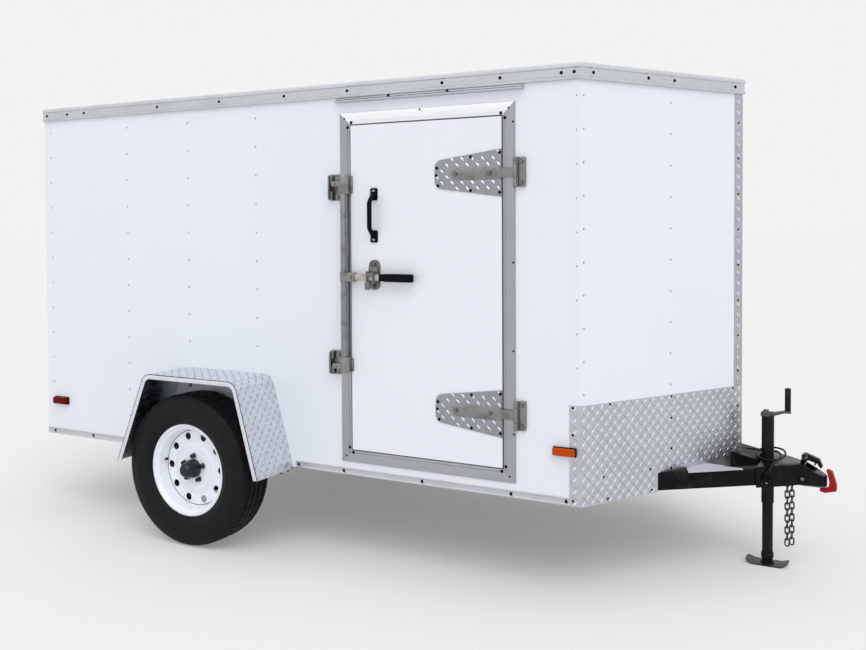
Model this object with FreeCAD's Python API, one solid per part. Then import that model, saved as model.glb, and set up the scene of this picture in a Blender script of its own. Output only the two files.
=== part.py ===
import FreeCAD, Part
import math
import os

# Enclosed V-nose cargo trailer, single axle, millimetres.
# Drawn from the front corner of the straight sides: x = 0 there, +X forward, +Y left, z = 0 on the
# ground.  save() then moves every piece along X by X_CORNER, so that the origin lies on the ground
# under the middle of the whole length.

V = FreeCAD.Vector
UP = V(0, 0, 1)
FORWARD = V(1, 0, 0)
LEFT = V(0, 1, 0)
ORIGIN = V(0, 0, 0)
SIDES = (-1, 1)

# ---- body ----
BOX_LENGTH = 2950.0
HALF_WIDTH = 775.0
NOSE_LENGTH = 448.0
BODY_BOTTOM = 366.0
ROOF_TOP = 2064.0
WALL = 38.0
SKIN = 2.0
FRAME_TOP = 442.0
FLOOR_THICK = 19.0
FLOOR_TOP = FRAME_TOP + FLOOR_THICK
MEMBER_XS = (-2860.0, -2450.0, -2045.0, -1555.0, -1150.0, -745.0, -340.0)
MEMBER_WIDTH = 40.0
MEMBER_DEPTH = 51.0
RAIL_SLOT = 2.0
RAIL_WIDTH = 51.0
ROOF_THICK = 34.0
ROOF_LIP = 6.0
WALL_TOP = ROOF_TOP - ROOF_LIP - ROOF_THICK

# ---- trim ----
ROOF_RAIL_HEIGHT = 65.0
ROOF_RAIL_PROUD = 12.0
SKIRT_TRIM_HEIGHT = 30.0
TRIM_PROUD = 4.0
GUARD_TOP = 754.0
GUARD_WRAP = 43.0
GUARD_THICK = 2.5
GUARD_DROP = 2.0
STRIP_WIDTH = 46.0
ROOF_FLANGE = 35.0

# ---- side door (right-hand side, hinged at its front edge) ----
DOOR_REAR = -1089.0
DOOR_FRONT = -267.0
DOOR_BOTTOM = 425.0
DOOR_TOP = 1933.0
DOOR_FRAME_FACE = 51.0
DOOR_FRAME_PROUD = 7.0
DOOR_FACE_Y = -HALF_WIDTH - DOOR_FRAME_PROUD
FRAME_LAP = 8.0
DOOR_GAP = 5.0
CAP_REAR = -1107.0
CAP_FRONT = -229.0
CAP_REACH = 26.0
CAP_LIP_Z = 1977.0
CAP_SHEET = 4.0

# ---- hinges ----
PLATE = 4.0
STRAP_THICK = 6.0
PIN_RADIUS = 6.5
PIN_SLACK = 0.05
KNUCKLE_RADIUS = 8.5
SIDE_PIN_X = -260.0
SIDE_PIN_OUT = 20.0
SIDE_HINGE_ZS = (697.0, 1655.0)
BACKER_REAR = -622.0
BACKER_TALL = 190.0
BACKER_SHORT = 120.0
STRAP_REAR = -545.0
STRAP_HEIGHT = 52.0
STRAP_NECK_X = -326.0
STRAP_NECK_HEIGHT = 39.0
STRAP_ROUND = 20.0
BUTT_REAR = -252.0
BUTT_FRONT = -221.0
BUTT_HEIGHT = 118.0
KNUCKLE_HALF = 28.0

# ---- side door's grab handle and bar lock ----
GRAB_X = -915.0
GRAB_LOW = 1376.0
GRAB_HIGH = 1607.0
GRAB_OUT = 40.0
GRAB_PAD = (34.0, 10.0, 52.0)
GRAB_BOW = (20.0, 16.0)
BAR_X = -1056.5
BAR_Y = -HALF_WIDTH - 32.0
BAR_RADIUS = 13.0
BAR_LOW = 815.0
BAR_HIGH = 1667.0
BEARING_ZS = ((815.0, 882.0), (1582.0, 1667.0))
KEEPER_ZS = ((802.0, 906.0), (1557.0, 1670.0))
CAM_ZS = (842.0, 1628.0)
CAM_REACH = 55.0
CAM_TALL = 24.0
CAM_HALF_DEEP = 8.0
CAM_SLACK = 0.5
BEARING_REAR = BAR_X - 21.0
BEARING_FRONT = BAR_X + 24.0
BEARING_FOOT = 10.0
BEARING_INSET = 8.0
BEARING_BORE = BAR_RADIUS + 0.1
KEEPER_REAR = -1143.0
KEEPER_FRONT = -1091.0
KEEPER_HOOK = -1122.0
KEEPER_OUT = 34.0
KEEPER_SHEET = 5.0
KEEPER_INSET = 6.0
HASP_X = -914.0
HASP_SIZE = (56.0, 129.0)
HASP_Z = 1238.5
HASP_THICK = 12.0
ARM_Z = 1229.0
ARM_OUT = 8.0
ARM_THICK = 8.0
ARM_TALL = 28.0
CLAMP_HALF = 18.0
CLAMP_FRONT = BAR_X + 61.0
CLAMP_TALL = 40.0
ARM_FRONT = -850.0
GRIP_FRONT = -712.0
GRIP_SECTION = (20.0, 34.0)
GRIP_ROUND = 8.0

# ---- rear doors ----
REAR_FRAME_DEPTH = 38.0
REAR_POST = 45.0
REAR_OPEN_TOP = 1958.0
REAR_PIN_OUT = 20.0
REAR_PIN_Y = 727.5
REAR_STRAP_LENGTH = 290.0
REAR_STRAP_HALF = 26.0
REAR_ARM_WIDTH = 14.0
REAR_BUTT_HALF = 55.0
REAR_BUTT_EDGE = 5.0
REAR_HINGE_ZS = (640.0, 1210.0, 1780.0)
CENTRE_GAP = 3.0
REAR_BAR_Y = -70.0
REAR_BAR_OUT = 24.0
REAR_BAR_RADIUS = 12.5
REAR_BAR_LOW = BODY_BOTTOM + 52.0
REAR_BAR_HIGH = REAR_OPEN_TOP + 42.0
REAR_CAM_ZS = (REAR_BAR_LOW + 14.0, REAR_BAR_HIGH - 14.0)
REAR_GUIDE_ZS = (620.0, 1790.0)
REAR_ARM_Z = 1150.0
REAR_ARM_END = REAR_BAR_Y - 250.0
REAR_GRIP_START = REAR_BAR_Y - 235.0
REAR_GRIP_END = REAR_BAR_Y - 330.0
REAR_GRIP_RADIUS = 16.0
REAR_HASP_Y = REAR_BAR_Y - 160.0
REAR_HASP_SIZE = (60.0, 118.0)
REAR_PLATE = 5.0
LICENCE_YS = (190.0, 495.0)
LICENCE_HALF = 36.0
LICENCE_OUT = 28.0
LICENCE_SHEET = 4.0
LICENCE_BORE = 3.5
PLATE_HOLES = 177.8

# ---- lamps ----
SILL_Z = (BODY_BOTTOM + FLOOR_TOP) / 2
TAIL_LAMP_Y = 650.0
TAIL_LAMP_OUT = 16.0
TAIL_LAMP_HALF = (82.0, 28.0)
AMBER_LAMP_XS = (-110.0, -14.0)
AMBER_LAMP_ZS = (556.0, 592.0)
AMBER_LAMP_OUT = 26.0
RED_LAMP_XS = (-2898.0, -2794.0)
RED_LAMP_ZS = (524.0, 564.0)
RED_LAMP_OUT = 24.0
HEADER_LAMP_YS = (-700.0, -200.0, 0.0, 200.0, 700.0)
HEADER_LAMP_Z = 1994.0
HEADER_LAMP_OUT = 22.0
HEADER_LAMP_HALF = (48.0, 17.0)

# ---- running gear ----
TYRE_RADIUS = 344.0
TYRE_WIDTH = 205.0
WHEEL_Y = 905.0
RIM_HOLES = 10
RIM_HOLE_CIRCLE = 147.0
RIM_HOLE_RADIUS = 17.0
# Sections of the wheel: (distance outwards from its middle plane, distance from its axis).
TYRE_SHOULDER = [(60, 194), (71, 203.5), (71, 208.5), (86, 216), (TYRE_WIDTH / 2, 262),
                 (TYRE_WIDTH / 2 - 4, 298), (82, 336), (70, TYRE_RADIUS)]
RIM_SECTION = [(-75, 208), (-75, 203), (-66, 196), (-60, 187), (-30, 176), (10, 176), (10, 120),
               (24, 96), (24, 42), (29, 42), (29, 98), (15, 124), (15, 172), (60, 183), (66, 192),
               (75, 199), (75, 208), (71, 208), (71, 203), (60, 193.5), (-60, 193.5), (-71, 203),
               (-71, 208)]
HUB_SECTION = [(24, 90), (-20, 90), (-20, 50), (-70, 45), (-70, 17.0), (50, 17.0), (50, 28),
               (74, 27), (84, 18), (86, 0), (100, 0), (98, 22), (88, 31), (50, 41.5), (24, 41.5)]
AXLE_X = -1800.0
BEAM_Z = 242.0
BEAM_RADIUS = 30.0
SPINDLE_RADIUS = 16.95
SPINDLE_IN = WHEEL_Y - 90.0
SPRING_Y = 715.0
SPRING_HALF = 330.0
LEAF_THICK = 6.5
LEAF_HALF_WIDTH = 22.0
LEAF_SHARES = (1.0, 0.78, 0.5)
EYE_RADIUS = 15.0
HANGER_OFFSETS = (-28.0, 23.0)
HANGER_SHEET = 5.0
HANGER_HALF = 22.0
SHACKLE_HALF = 14.0
EYE_Z = 330.0
FENDER_WIDTH = 260.0
FENDER_TOP = 776.0
FENDER_REAR = -2178.0
FENDER_FRONT = -1354.0
FENDER_KNEES = (-2006.0, -1474.5)
FENDER_KNEE_RADIUS = 54.0
FENDER_BOTTOM = 360.0
FENDER_SHEET = 3.0
FENDER_LIP = 32.0

# ---- tongue ----
CHAIN_XS = (640.0, 655.0)
CHAIN_YS = (-14.0, 12.0)
CHAIN_PIN_Z = 368.0
CHAIN_PIN_RADIUS = 4.0
CHAIN_WIRE = 3.2
LINK_HALF_WIDTH = 8.2
LINK_REACH = 16.0
LINKS = 11
CABLE_DIAMETER = 8.0
JACK_X = 558.5
JACK_RADIUS = 25.5
JACK_TUBE_BOTTOM = 262.0
JACK_TUBE_TOP = 633.0
LEG_RADIUS = 22.0
JACK_CAP = 4.0
LEG_SLACK = 0.6
LEG_BOTTOM = 4.0
LEG_TOP = 395.0
FOOT_HALF = (62.0, 45.0)
FOOT_THICK = 6.0
FOOT_EDGE = ((0.0, 0.0), (0.0, FOOT_THICK), (21.0, 20.0), (24.0, 15.0))
CRANK_X = JACK_X - 8.0
CRANK_HUB_TOP = 657.0
CRANK_HUB_RADIUS = 18.0
CRANK_ARM_ZS = (650.0, 660.0)
CRANK_END = 650.0
CRANK_HALF_WIDTH = 10.0
GRIP_X = 639.0
GRIP_TOP = 755.0
GRIP_RADIUS = 13.0
COUPLER_BACK = 540.0
COUPLER_SHEET = 5.0
COUPLER_THROAT = 42.0
THROAT_X = 690.0
BALL_X = 752.0
BALL_RADIUS = 25.8
COUPLER_NOSE = ((28.0, 30.0), (42.0, 12.0))
COUPLER_RAMP = ((694.0, 449.0), (840.0, 449.0), (840.0, 388.0), (772.0, 410.0), (710.0, 444.0))
LATCH_HALF = 14.0
LATCH_SIDE = ((690.0, 448.0), (700.0, 488.0), (712.0, 490.0), (765.0, 470.0), (778.0, 440.0),
              (770.0, 432.0), (756.0, 452.0), (720.0, 462.0), (706.0, 446.0))
LOCK_HALF = 15.0
LOCK_SIDE = ((770.0, 352.0), (764.0, 340.0), (786.0, 333.0), (832.0, 345.0), (832.0, 372.0),
             (816.0, 424.0), (800.0, 432.0), (790.0, 428.0), (796.0, 416.0), (804.0, 380.0),
             (800.0, 356.0))
GUSSET_THICK = 4.0
BRIDGE_HALF = 60.0
BRIDGE_SIDE = ((380.0, 390.0), (380.0, 484.0), (520.0, 456.0), (520.0, 390.0))
RAIL_BOTTOM = 370.0
RAIL_TOP = 440.0
RAIL_ANGLE = 38.0
RAIL_OUTER_X = 544.0
RAIL_OUTER_Y = 159.0
RAIL_FRONT_X = 625.0
COUPLER_TOP = RAIL_TOP + 8.0
COUPLER_LOW = RAIL_BOTTOM - 8.0
FRONT_REACH = 832.0
REAR_REACH = 3000.0
X_CORNER = (REAR_REACH - FRONT_REACH) / 2

NOSE_ANGLE = math.atan2(HALF_WIDTH, NOSE_LENGTH)

os.makedirs("parts", exist_ok=True)


# ---------------------------------------------------------------- helpers

def save(node, *shapes):
    """Move the solids into the object's frame and write them as one node."""
    solids = []
    for shape in shapes:
        solids.extend(shape.Solids)
    result = solids[0] if len(solids) == 1 else Part.makeCompound(solids)
    result = result.copy()
    result.translate(V(X_CORNER, 0, 0))
    box = result.BoundBox
    ok = all(s.isValid() and s.Volume > 0 for s in result.Solids)
    print("%-22s %2d %s  x %7.1f %7.1f  y %7.1f %7.1f  z %7.1f %7.1f" % (
        node, len(solids), "ok" if ok else "BAD",
        box.XMin, box.XMax, box.YMin, box.YMax, box.ZMin, box.ZMax))
    result.exportStep("parts/%s.step" % node)


def box(x0, x1, y0, y1, z0, z1):
    """Block between two opposite corners."""
    return Part.makeBox(x1 - x0, y1 - y0, z1 - z0, V(x0, y0, z0))


def sided(side, x0, x1, out0, out1, z0, z1):
    """Block on one side of the trailer, given by its distances from the centre plane."""
    y0, y1 = sorted((side * out0, side * out1))
    return box(x0, x1, y0, y1, z0, z1)


def rod(start, end, radius):
    """Round bar between two points."""
    return Part.makeCylinder(radius, (end - start).Length, start, end - start)


def tube(start, end, radius, bore):
    """Round tube between two points."""
    return rod(start, end, radius).cut(rod(start, end, bore))


def prism(points, along):
    """Straight-edged outline swept along a vector."""
    return Part.Face(Part.makePolygon(points + points[:1])).extrude(along)


def plan(points, z0, z1):
    """Plan outline of (x, y) pairs between two heights."""
    return prism([V(x, y, z0) for x, y in points], V(0, 0, z1 - z0))


def mirror(shape):
    """The same piece on the other side of the trailer."""
    return shape.mirror(ORIGIN, LEFT)


def both(shape):
    """A right-hand piece and its mirror image."""
    return [shape, mirror(shape)]


def rounded(shape, radius, direction):
    """Fillet the straight edges that run along a direction."""
    edges = []
    for edge in shape.Edges:
        if edge.Curve.TypeId == "Part::GeomLine":
            run = (edge.Vertexes[-1].Point - edge.Vertexes[0].Point).normalize()
            if abs(abs(run.dot(direction)) - 1) < 1e-6:
                edges.append(edge)
    return shape.makeFillet(radius, edges)


def corner_at(inset):
    """Plan point of the right front corner, a distance inside the outer skin."""
    return (-inset * math.tan(NOSE_ANGLE / 2), -(HALF_WIDTH - inset))


def apex_at(inset):
    """Plan point of the nose's apex, a distance inside the outer skin."""
    return (NOSE_LENGTH - inset / math.sin(NOSE_ANGLE), 0.0)


def nose_at(distance, inset):
    """Plan point a distance along the right nose face from the corner, set in from the skin."""
    x = distance * math.cos(NOSE_ANGLE) - inset * math.sin(NOSE_ANGLE)
    y = -HALF_WIDTH + distance * math.sin(NOSE_ANGLE) + inset * math.cos(NOSE_ANGLE)
    return (x, y)


# ---------------------------------------------------------------- chassis

def chassis():
    """Side rails, nose rails, crossmembers and floor."""
    inner = HALF_WIDTH - SKIN
    corner_out = corner_at(SKIN)
    corner_in = corner_at(SKIN + RAIL_WIDTH)
    rear = -BOX_LENGTH + REAR_FRAME_DEPTH
    side_rail = plan([corner_out, (rear, -inner), (rear, -inner + RAIL_WIDTH), corner_in],
                     BODY_BOTTOM, FRAME_TOP)
    save("main_rails", *both(side_rail))

    nose_rail = plan([corner_out, apex_at(SKIN), apex_at(SKIN + RAIL_WIDTH), corner_in],
                     BODY_BOTTOM, FRAME_TOP)
    slot = plan(tongue_rail_outline(RAIL_SLOT), BODY_BOTTOM - 1, FRAME_TOP + 1)
    save("nose_rails", *both(nose_rail.cut(slot)))

    half_span = inner - RAIL_WIDTH
    members = []
    for x in MEMBER_XS:
        members.append(box(x, x + MEMBER_WIDTH, -half_span, half_span,
                           FRAME_TOP - MEMBER_DEPTH, FRAME_TOP))
    save("crossmembers", *members)

    floor = plan([(rear, -HALF_WIDTH + WALL), corner_at(WALL), apex_at(WALL),
                  (corner_at(WALL)[0], HALF_WIDTH - WALL), (rear, HALF_WIDTH - WALL)],
                 FRAME_TOP, FLOOR_TOP)
    save("floor_deck", floor)


def rail_y(x, inset=0.0):
    """Distance from the centre plane of a tongue rail's outer face, or of a line inside it."""
    a = math.radians(RAIL_ANGLE)
    return RAIL_OUTER_Y - (x - RAIL_OUTER_X) * math.tan(a) - inset / math.cos(a)


def tongue_rail_outline(extra=0.0):
    """Plan outline of the right tongue rail, from the side rail to the coupler."""
    slope = math.tan(math.radians(RAIL_ANGLE))
    wall = HALF_WIDTH - SKIN - RAIL_WIDTH
    outer_back = RAIL_OUTER_X - (wall - rail_y(RAIL_OUTER_X, -extra)) / slope
    inner_back = RAIL_OUTER_X - (wall - rail_y(RAIL_OUTER_X, RAIL_WIDTH + extra)) / slope
    return [(outer_back, -wall), (RAIL_FRONT_X, -rail_y(RAIL_FRONT_X, -extra)),
            (RAIL_FRONT_X, -rail_y(RAIL_FRONT_X, RAIL_WIDTH + extra)), (inner_back, -wall)]


# ---------------------------------------------------------------- body shell

def body_shell():
    """Wall panels, nose panels, roof and rear door frame."""
    rear = -BOX_LENGTH + REAR_FRAME_DEPTH
    wall = plan([corner_at(0), (rear, -HALF_WIDTH), (rear, -HALF_WIDTH + WALL), corner_at(WALL)],
                FRAME_TOP, WALL_TOP)
    skirt = plan([corner_at(0), (rear, -HALF_WIDTH), (rear, -HALF_WIDTH + SKIN), corner_at(SKIN)],
                 BODY_BOTTOM, FRAME_TOP)
    wall = wall.fuse(skirt).removeSplitter()
    save("left_wall", mirror(wall))
    opening = box(DOOR_REAR + FRAME_LAP, DOOR_FRONT - FRAME_LAP, -HALF_WIDTH - 1,
                  -HALF_WIDTH + WALL + 1, FRAME_TOP, DOOR_TOP - FRAME_LAP)
    save("right_wall", wall.cut(opening))

    nose = plan([corner_at(0), apex_at(0), apex_at(WALL), corner_at(WALL)], FRAME_TOP, WALL_TOP)
    apron = plan([corner_at(0), apex_at(0), apex_at(SKIN), corner_at(SKIN)],
                 BODY_BOTTOM, FRAME_TOP)
    slot = plan(tongue_rail_outline(RAIL_SLOT), BODY_BOTTOM - 1, FRAME_TOP)
    nose = nose.fuse(apron.cut(slot)).removeSplitter()
    save("right_nose", nose)
    save("left_nose", mirror(nose))

    roof = plan([(-BOX_LENGTH, -HALF_WIDTH), corner_at(0), apex_at(0),
                 (corner_at(0)[0], HALF_WIDTH), (-BOX_LENGTH, HALF_WIDTH)],
                WALL_TOP, WALL_TOP + ROOF_THICK)
    save("roof", roof)

    frame = box(-BOX_LENGTH, rear, -HALF_WIDTH, HALF_WIDTH, BODY_BOTTOM, WALL_TOP)
    hole = box(-BOX_LENGTH - 1, rear + 1, -HALF_WIDTH + REAR_POST, HALF_WIDTH - REAR_POST,
               FLOOR_TOP, REAR_OPEN_TOP)
    save("rear_frame", frame.cut(hole))


def trims():
    """Roof rail, skirt trim, stone guard and nose strip."""
    out = -ROOF_RAIL_PROUD
    top = ROOF_TOP
    low = ROOF_TOP - ROOF_RAIL_HEIGHT
    lip = ROOF_TOP - ROOF_LIP
    rail = plan([corner_at(out), (-BOX_LENGTH, -HALF_WIDTH + out), (-BOX_LENGTH, -HALF_WIDTH),
                 corner_at(0)], low, top)
    flange = plan([corner_at(0), (-BOX_LENGTH, -HALF_WIDTH),
                   (-BOX_LENGTH, -HALF_WIDTH + ROOF_FLANGE), corner_at(ROOF_FLANGE)], lip, top)
    save("side_roof_rails", *both(rail.fuse(flange).removeSplitter()))
    nose_rail = plan([corner_at(out), apex_at(out), apex_at(0), corner_at(0)], low, top)
    nose_flange = plan([corner_at(0), apex_at(0), apex_at(ROOF_FLANGE), corner_at(ROOF_FLANGE)],
                       lip, top)
    save("nose_roof_rails", *both(nose_rail.fuse(nose_flange).removeSplitter()))

    z0 = BODY_BOTTOM
    z1 = BODY_BOTTOM + SKIRT_TRIM_HEIGHT
    outer = HALF_WIDTH + TRIM_PROUD
    pieces = []
    for side in SIDES:
        pieces.append(sided(side, -BOX_LENGTH, FENDER_REAR - 6, HALF_WIDTH, outer, z0, z1))
        pieces.append(sided(side, FENDER_FRONT + 40, -GUARD_WRAP, HALF_WIDTH, outer, z0, z1))
    save("skirt_trim", *pieces)

    guard_bottom = BODY_BOTTOM - GUARD_DROP
    t = -GUARD_THICK
    guard = plan([(-GUARD_WRAP, -HALF_WIDTH), (-GUARD_WRAP, -HALF_WIDTH + t), corner_at(t),
                  apex_at(t), apex_at(0), corner_at(0)], guard_bottom, GUARD_TOP)
    slot = plan(tongue_rail_outline(RAIL_SLOT), guard_bottom - 1, FRAME_TOP)
    save("stone_guard", *both(guard.cut(slot)))

    panel = NOSE_LENGTH / math.cos(NOSE_ANGLE)
    strip = plan([nose_at(panel - STRIP_WIDTH, 0), nose_at(panel - STRIP_WIDTH, t), apex_at(t),
                  apex_at(0)], GUARD_TOP, low)
    save("nose_strip", strip.fuse(mirror(strip)).removeSplitter())


# ---------------------------------------------------------------- side door

def side_door():
    """Framed opening, flush door and the drip cap over them."""
    skin = -HALF_WIDTH
    inside = skin + WALL
    outer = box(DOOR_REAR, DOOR_FRONT, DOOR_FACE_Y, skin, DOOR_BOTTOM, DOOR_TOP)
    liner = box(DOOR_REAR + FRAME_LAP, DOOR_FRONT - FRAME_LAP, skin, inside,
                FRAME_TOP, DOOR_TOP - FRAME_LAP)
    hole = box(DOOR_REAR + DOOR_FRAME_FACE, DOOR_FRONT - DOOR_FRAME_FACE, DOOR_FACE_Y - 1,
               inside + 1, DOOR_BOTTOM + DOOR_FRAME_FACE, DOOR_TOP - DOOR_FRAME_FACE)
    save("side_door_frame", outer.fuse(liner).cut(hole).removeSplitter())

    rail_foot = ROOF_TOP - ROOF_RAIL_HEIGHT
    profile = [(skin, CAP_LIP_Z), (skin - CAP_REACH, CAP_LIP_Z + 3),
               (skin - CAP_REACH, CAP_LIP_Z + 7), (skin - CAP_SHEET, CAP_LIP_Z + 14),
               (skin - CAP_SHEET, rail_foot), (skin, rail_foot)]
    save("drip_cap", prism([V(CAP_REAR, y, z) for y, z in profile], V(CAP_FRONT - CAP_REAR, 0, 0)))

    gap = DOOR_FRAME_FACE + DOOR_GAP
    save("side_door", box(DOOR_REAR + gap, DOOR_FRONT - gap, DOOR_FACE_Y, DOOR_FACE_Y + WALL,
                          DOOR_BOTTOM + gap, DOOR_TOP - gap))


def upright(x, y, middle, half, radius):
    """Upright round bar about a middle height."""
    return rod(V(x, y, middle - half), V(x, y, middle + half), radius)


def side_hinges():
    """Two strap hinges: tread-plate backer and strap on the door, butt plate on the frame."""
    door_front = DOOR_FRONT - DOOR_FRAME_FACE - DOOR_GAP
    pin_y = -HALF_WIDTH - SIDE_PIN_OUT
    backer_out = DOOR_FACE_Y - PLATE
    butt_half = BUTT_HEIGHT / 2
    backers = []
    straps = []
    butts = []
    for z in SIDE_HINGE_ZS:
        tall = BACKER_TALL / 2
        short = BACKER_SHORT / 2
        corners = [(BACKER_REAR, -short), (door_front, -tall), (door_front, tall),
                   (BACKER_REAR, short)]
        backers.append(prism([V(x, DOOR_FACE_Y, z + dz) for x, dz in corners], V(0, -PLATE, 0)))

        wide = box(STRAP_REAR, STRAP_NECK_X, backer_out - STRAP_THICK, backer_out,
                   z - STRAP_HEIGHT / 2, z + STRAP_HEIGHT / 2)
        neck = box(STRAP_NECK_X - STRAP_ROUND, SIDE_PIN_X, backer_out - STRAP_THICK, backer_out,
                   z - STRAP_NECK_HEIGHT / 2, z + STRAP_NECK_HEIGHT / 2)
        strap = rounded(wide, STRAP_ROUND, LEFT).fuse(neck)
        strap = strap.fuse(upright(SIDE_PIN_X, pin_y, z, KNUCKLE_HALF, KNUCKLE_RADIUS))
        strap = strap.cut(upright(SIDE_PIN_X, pin_y, z, KNUCKLE_HALF + 1, PIN_RADIUS))
        straps.append(strap.removeSplitter())

        butt = box(BUTT_REAR, BUTT_FRONT, DOOR_FACE_Y - PLATE, DOOR_FACE_Y,
                   z - butt_half, z + butt_half)
        pad = box(DOOR_FRONT, BUTT_FRONT, DOOR_FACE_Y, -HALF_WIDTH, z - butt_half, z + butt_half)
        butt = butt.fuse(pad)
        for side in SIDES:
            z0, z1 = sorted((z + side * (KNUCKLE_HALF + 1), z + side * (butt_half - 1)))
            web = box(SIDE_PIN_X, BUTT_REAR + 6, pin_y, DOOR_FACE_Y, z0, z1)
            lobe = rod(V(SIDE_PIN_X, pin_y, z0), V(SIDE_PIN_X, pin_y, z1), KNUCKLE_RADIUS)
            butt = butt.fuse([web, lobe])
        pin = upright(SIDE_PIN_X, pin_y, z, butt_half + 1, PIN_RADIUS - PIN_SLACK)
        butts.append(butt.fuse(pin).removeSplitter())
    save("side_hinge_backers", *backers)
    save("side_hinge_straps", *straps)
    save("side_hinge_butts", *butts)


def grab_handle():
    """Moulded bow on two pads."""
    pad_long, pad_thick, pad_tall = GRAB_PAD
    wide, deep = GRAB_BOW
    bow_y = DOOR_FACE_Y - GRAB_OUT
    grab = box(GRAB_X - wide / 2, GRAB_X + wide / 2, bow_y - deep / 2, bow_y + deep / 2,
               GRAB_LOW + pad_tall / 4, GRAB_HIGH - pad_tall / 4)
    for z in (GRAB_LOW + pad_tall / 2, GRAB_HIGH - pad_tall / 2):
        pad = box(GRAB_X - pad_long / 2, GRAB_X + pad_long / 2, DOOR_FACE_Y - pad_thick, DOOR_FACE_Y,
                  z - pad_tall / 2, z + pad_tall / 2)
        stem = box(GRAB_X - wide / 2, GRAB_X + wide / 2, bow_y, DOOR_FACE_Y,
                   z - pad_tall / 4, z + pad_tall / 4)
        grab = grab.fuse([pad, stem])
    save("grab_handle", grab.removeSplitter())


def side_lock():
    """Bar lock: bar with its cams, bearings and hasp plate on the door, keepers on the wall."""
    bar = rod(V(BAR_X, BAR_Y, BAR_LOW), V(BAR_X, BAR_Y, BAR_HIGH), BAR_RADIUS)
    for z in CAM_ZS:
        bar = bar.fuse(box(BAR_X - CAM_REACH, BAR_X, BAR_Y - CAM_HALF_DEEP, BAR_Y + CAM_HALF_DEEP,
                           z - CAM_TALL / 2, z + CAM_TALL / 2))
    save("side_bar_lock", bar.removeSplitter())

    arm_y = BAR_Y - ARM_OUT
    arm = box(BAR_X, ARM_FRONT, arm_y - ARM_THICK / 2, arm_y + ARM_THICK / 2,
              ARM_Z - ARM_TALL / 2, ARM_Z + ARM_TALL / 2)
    clamp = box(BAR_X - CLAMP_HALF, CLAMP_FRONT, BAR_Y - CLAMP_HALF, BAR_Y + CLAMP_HALF,
                ARM_Z - CLAMP_TALL / 2, ARM_Z + CLAMP_TALL / 2)
    thick, tall = GRIP_SECTION
    grip = box(ARM_FRONT, GRIP_FRONT, arm_y - thick / 2, arm_y + thick / 2,
               ARM_Z - tall / 2, ARM_Z + tall / 2)
    grip = rounded(grip, GRIP_ROUND, FORWARD)
    bore = upright(BAR_X, BAR_Y, ARM_Z, 30, BAR_RADIUS)
    save("side_bar_handle", arm.fuse([grip, clamp]).cut(bore).removeSplitter())

    wide, tall = HASP_SIZE
    hasp = box(HASP_X - wide / 2, HASP_X + wide / 2, DOOR_FACE_Y - HASP_THICK, DOOR_FACE_Y,
               HASP_Z - tall / 2, HASP_Z + tall / 2)
    bearings = []
    for z0, z1 in BEARING_ZS:
        block = box(BEARING_REAR, BEARING_FRONT, BAR_Y - 16, DOOR_FACE_Y - DOOR_GAP, z0, z1)
        foot = box(BEARING_FRONT, BEARING_FRONT + BEARING_FOOT, BAR_Y - 2, DOOR_FACE_Y,
                   z0 + BEARING_INSET, z1 - BEARING_INSET)
        bore = upright(BAR_X, BAR_Y, (z0 + z1) / 2, z1 - z0, BEARING_BORE)
        bearing = block.fuse(foot).cut(bore)
        half_tall = CAM_TALL / 2 + CAM_SLACK
        for z in CAM_ZS:
            bearing = bearing.cut(box(BAR_X - CAM_REACH, BAR_X, BAR_Y - 20, BAR_Y + 20,
                                      z - half_tall, z + half_tall))
        bearings.append(bearing.removeSplitter())
    save("side_bar_guides", rounded(hasp, wide / 2 - 1, LEFT), *bearings)

    keepers = []
    skin = -HALF_WIDTH
    for z0, z1 in KEEPER_ZS:
        plate = box(KEEPER_REAR, KEEPER_FRONT, skin - KEEPER_SHEET, skin, z0, z1)
        hook = box(KEEPER_REAR + KEEPER_INSET, KEEPER_HOOK, skin - KEEPER_OUT, skin - KEEPER_SHEET,
                   z0 + KEEPER_INSET, z1 - KEEPER_INSET)
        keepers.append(plate.fuse(hook).removeSplitter())
    save("side_bar_keepers", *keepers)


# ---------------------------------------------------------------- rear doors

def rear_doors():
    """Two rear doors, their strap hinges, the bar lock, tail lamps and licence bracket."""
    x_out = -BOX_LENGTH
    side_gap = HALF_WIDTH - REAR_POST - DOOR_GAP
    door = box(x_out, x_out + REAR_FRAME_DEPTH, -side_gap, -CENTRE_GAP,
               FLOOR_TOP + DOOR_GAP, REAR_OPEN_TOP - DOOR_GAP)
    save("right_rear_door", door)
    save("left_rear_door", mirror(door))
    rear_hinges(x_out, side_gap)
    rear_lock(x_out)
    rear_plate_and_lamps(x_out)


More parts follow.
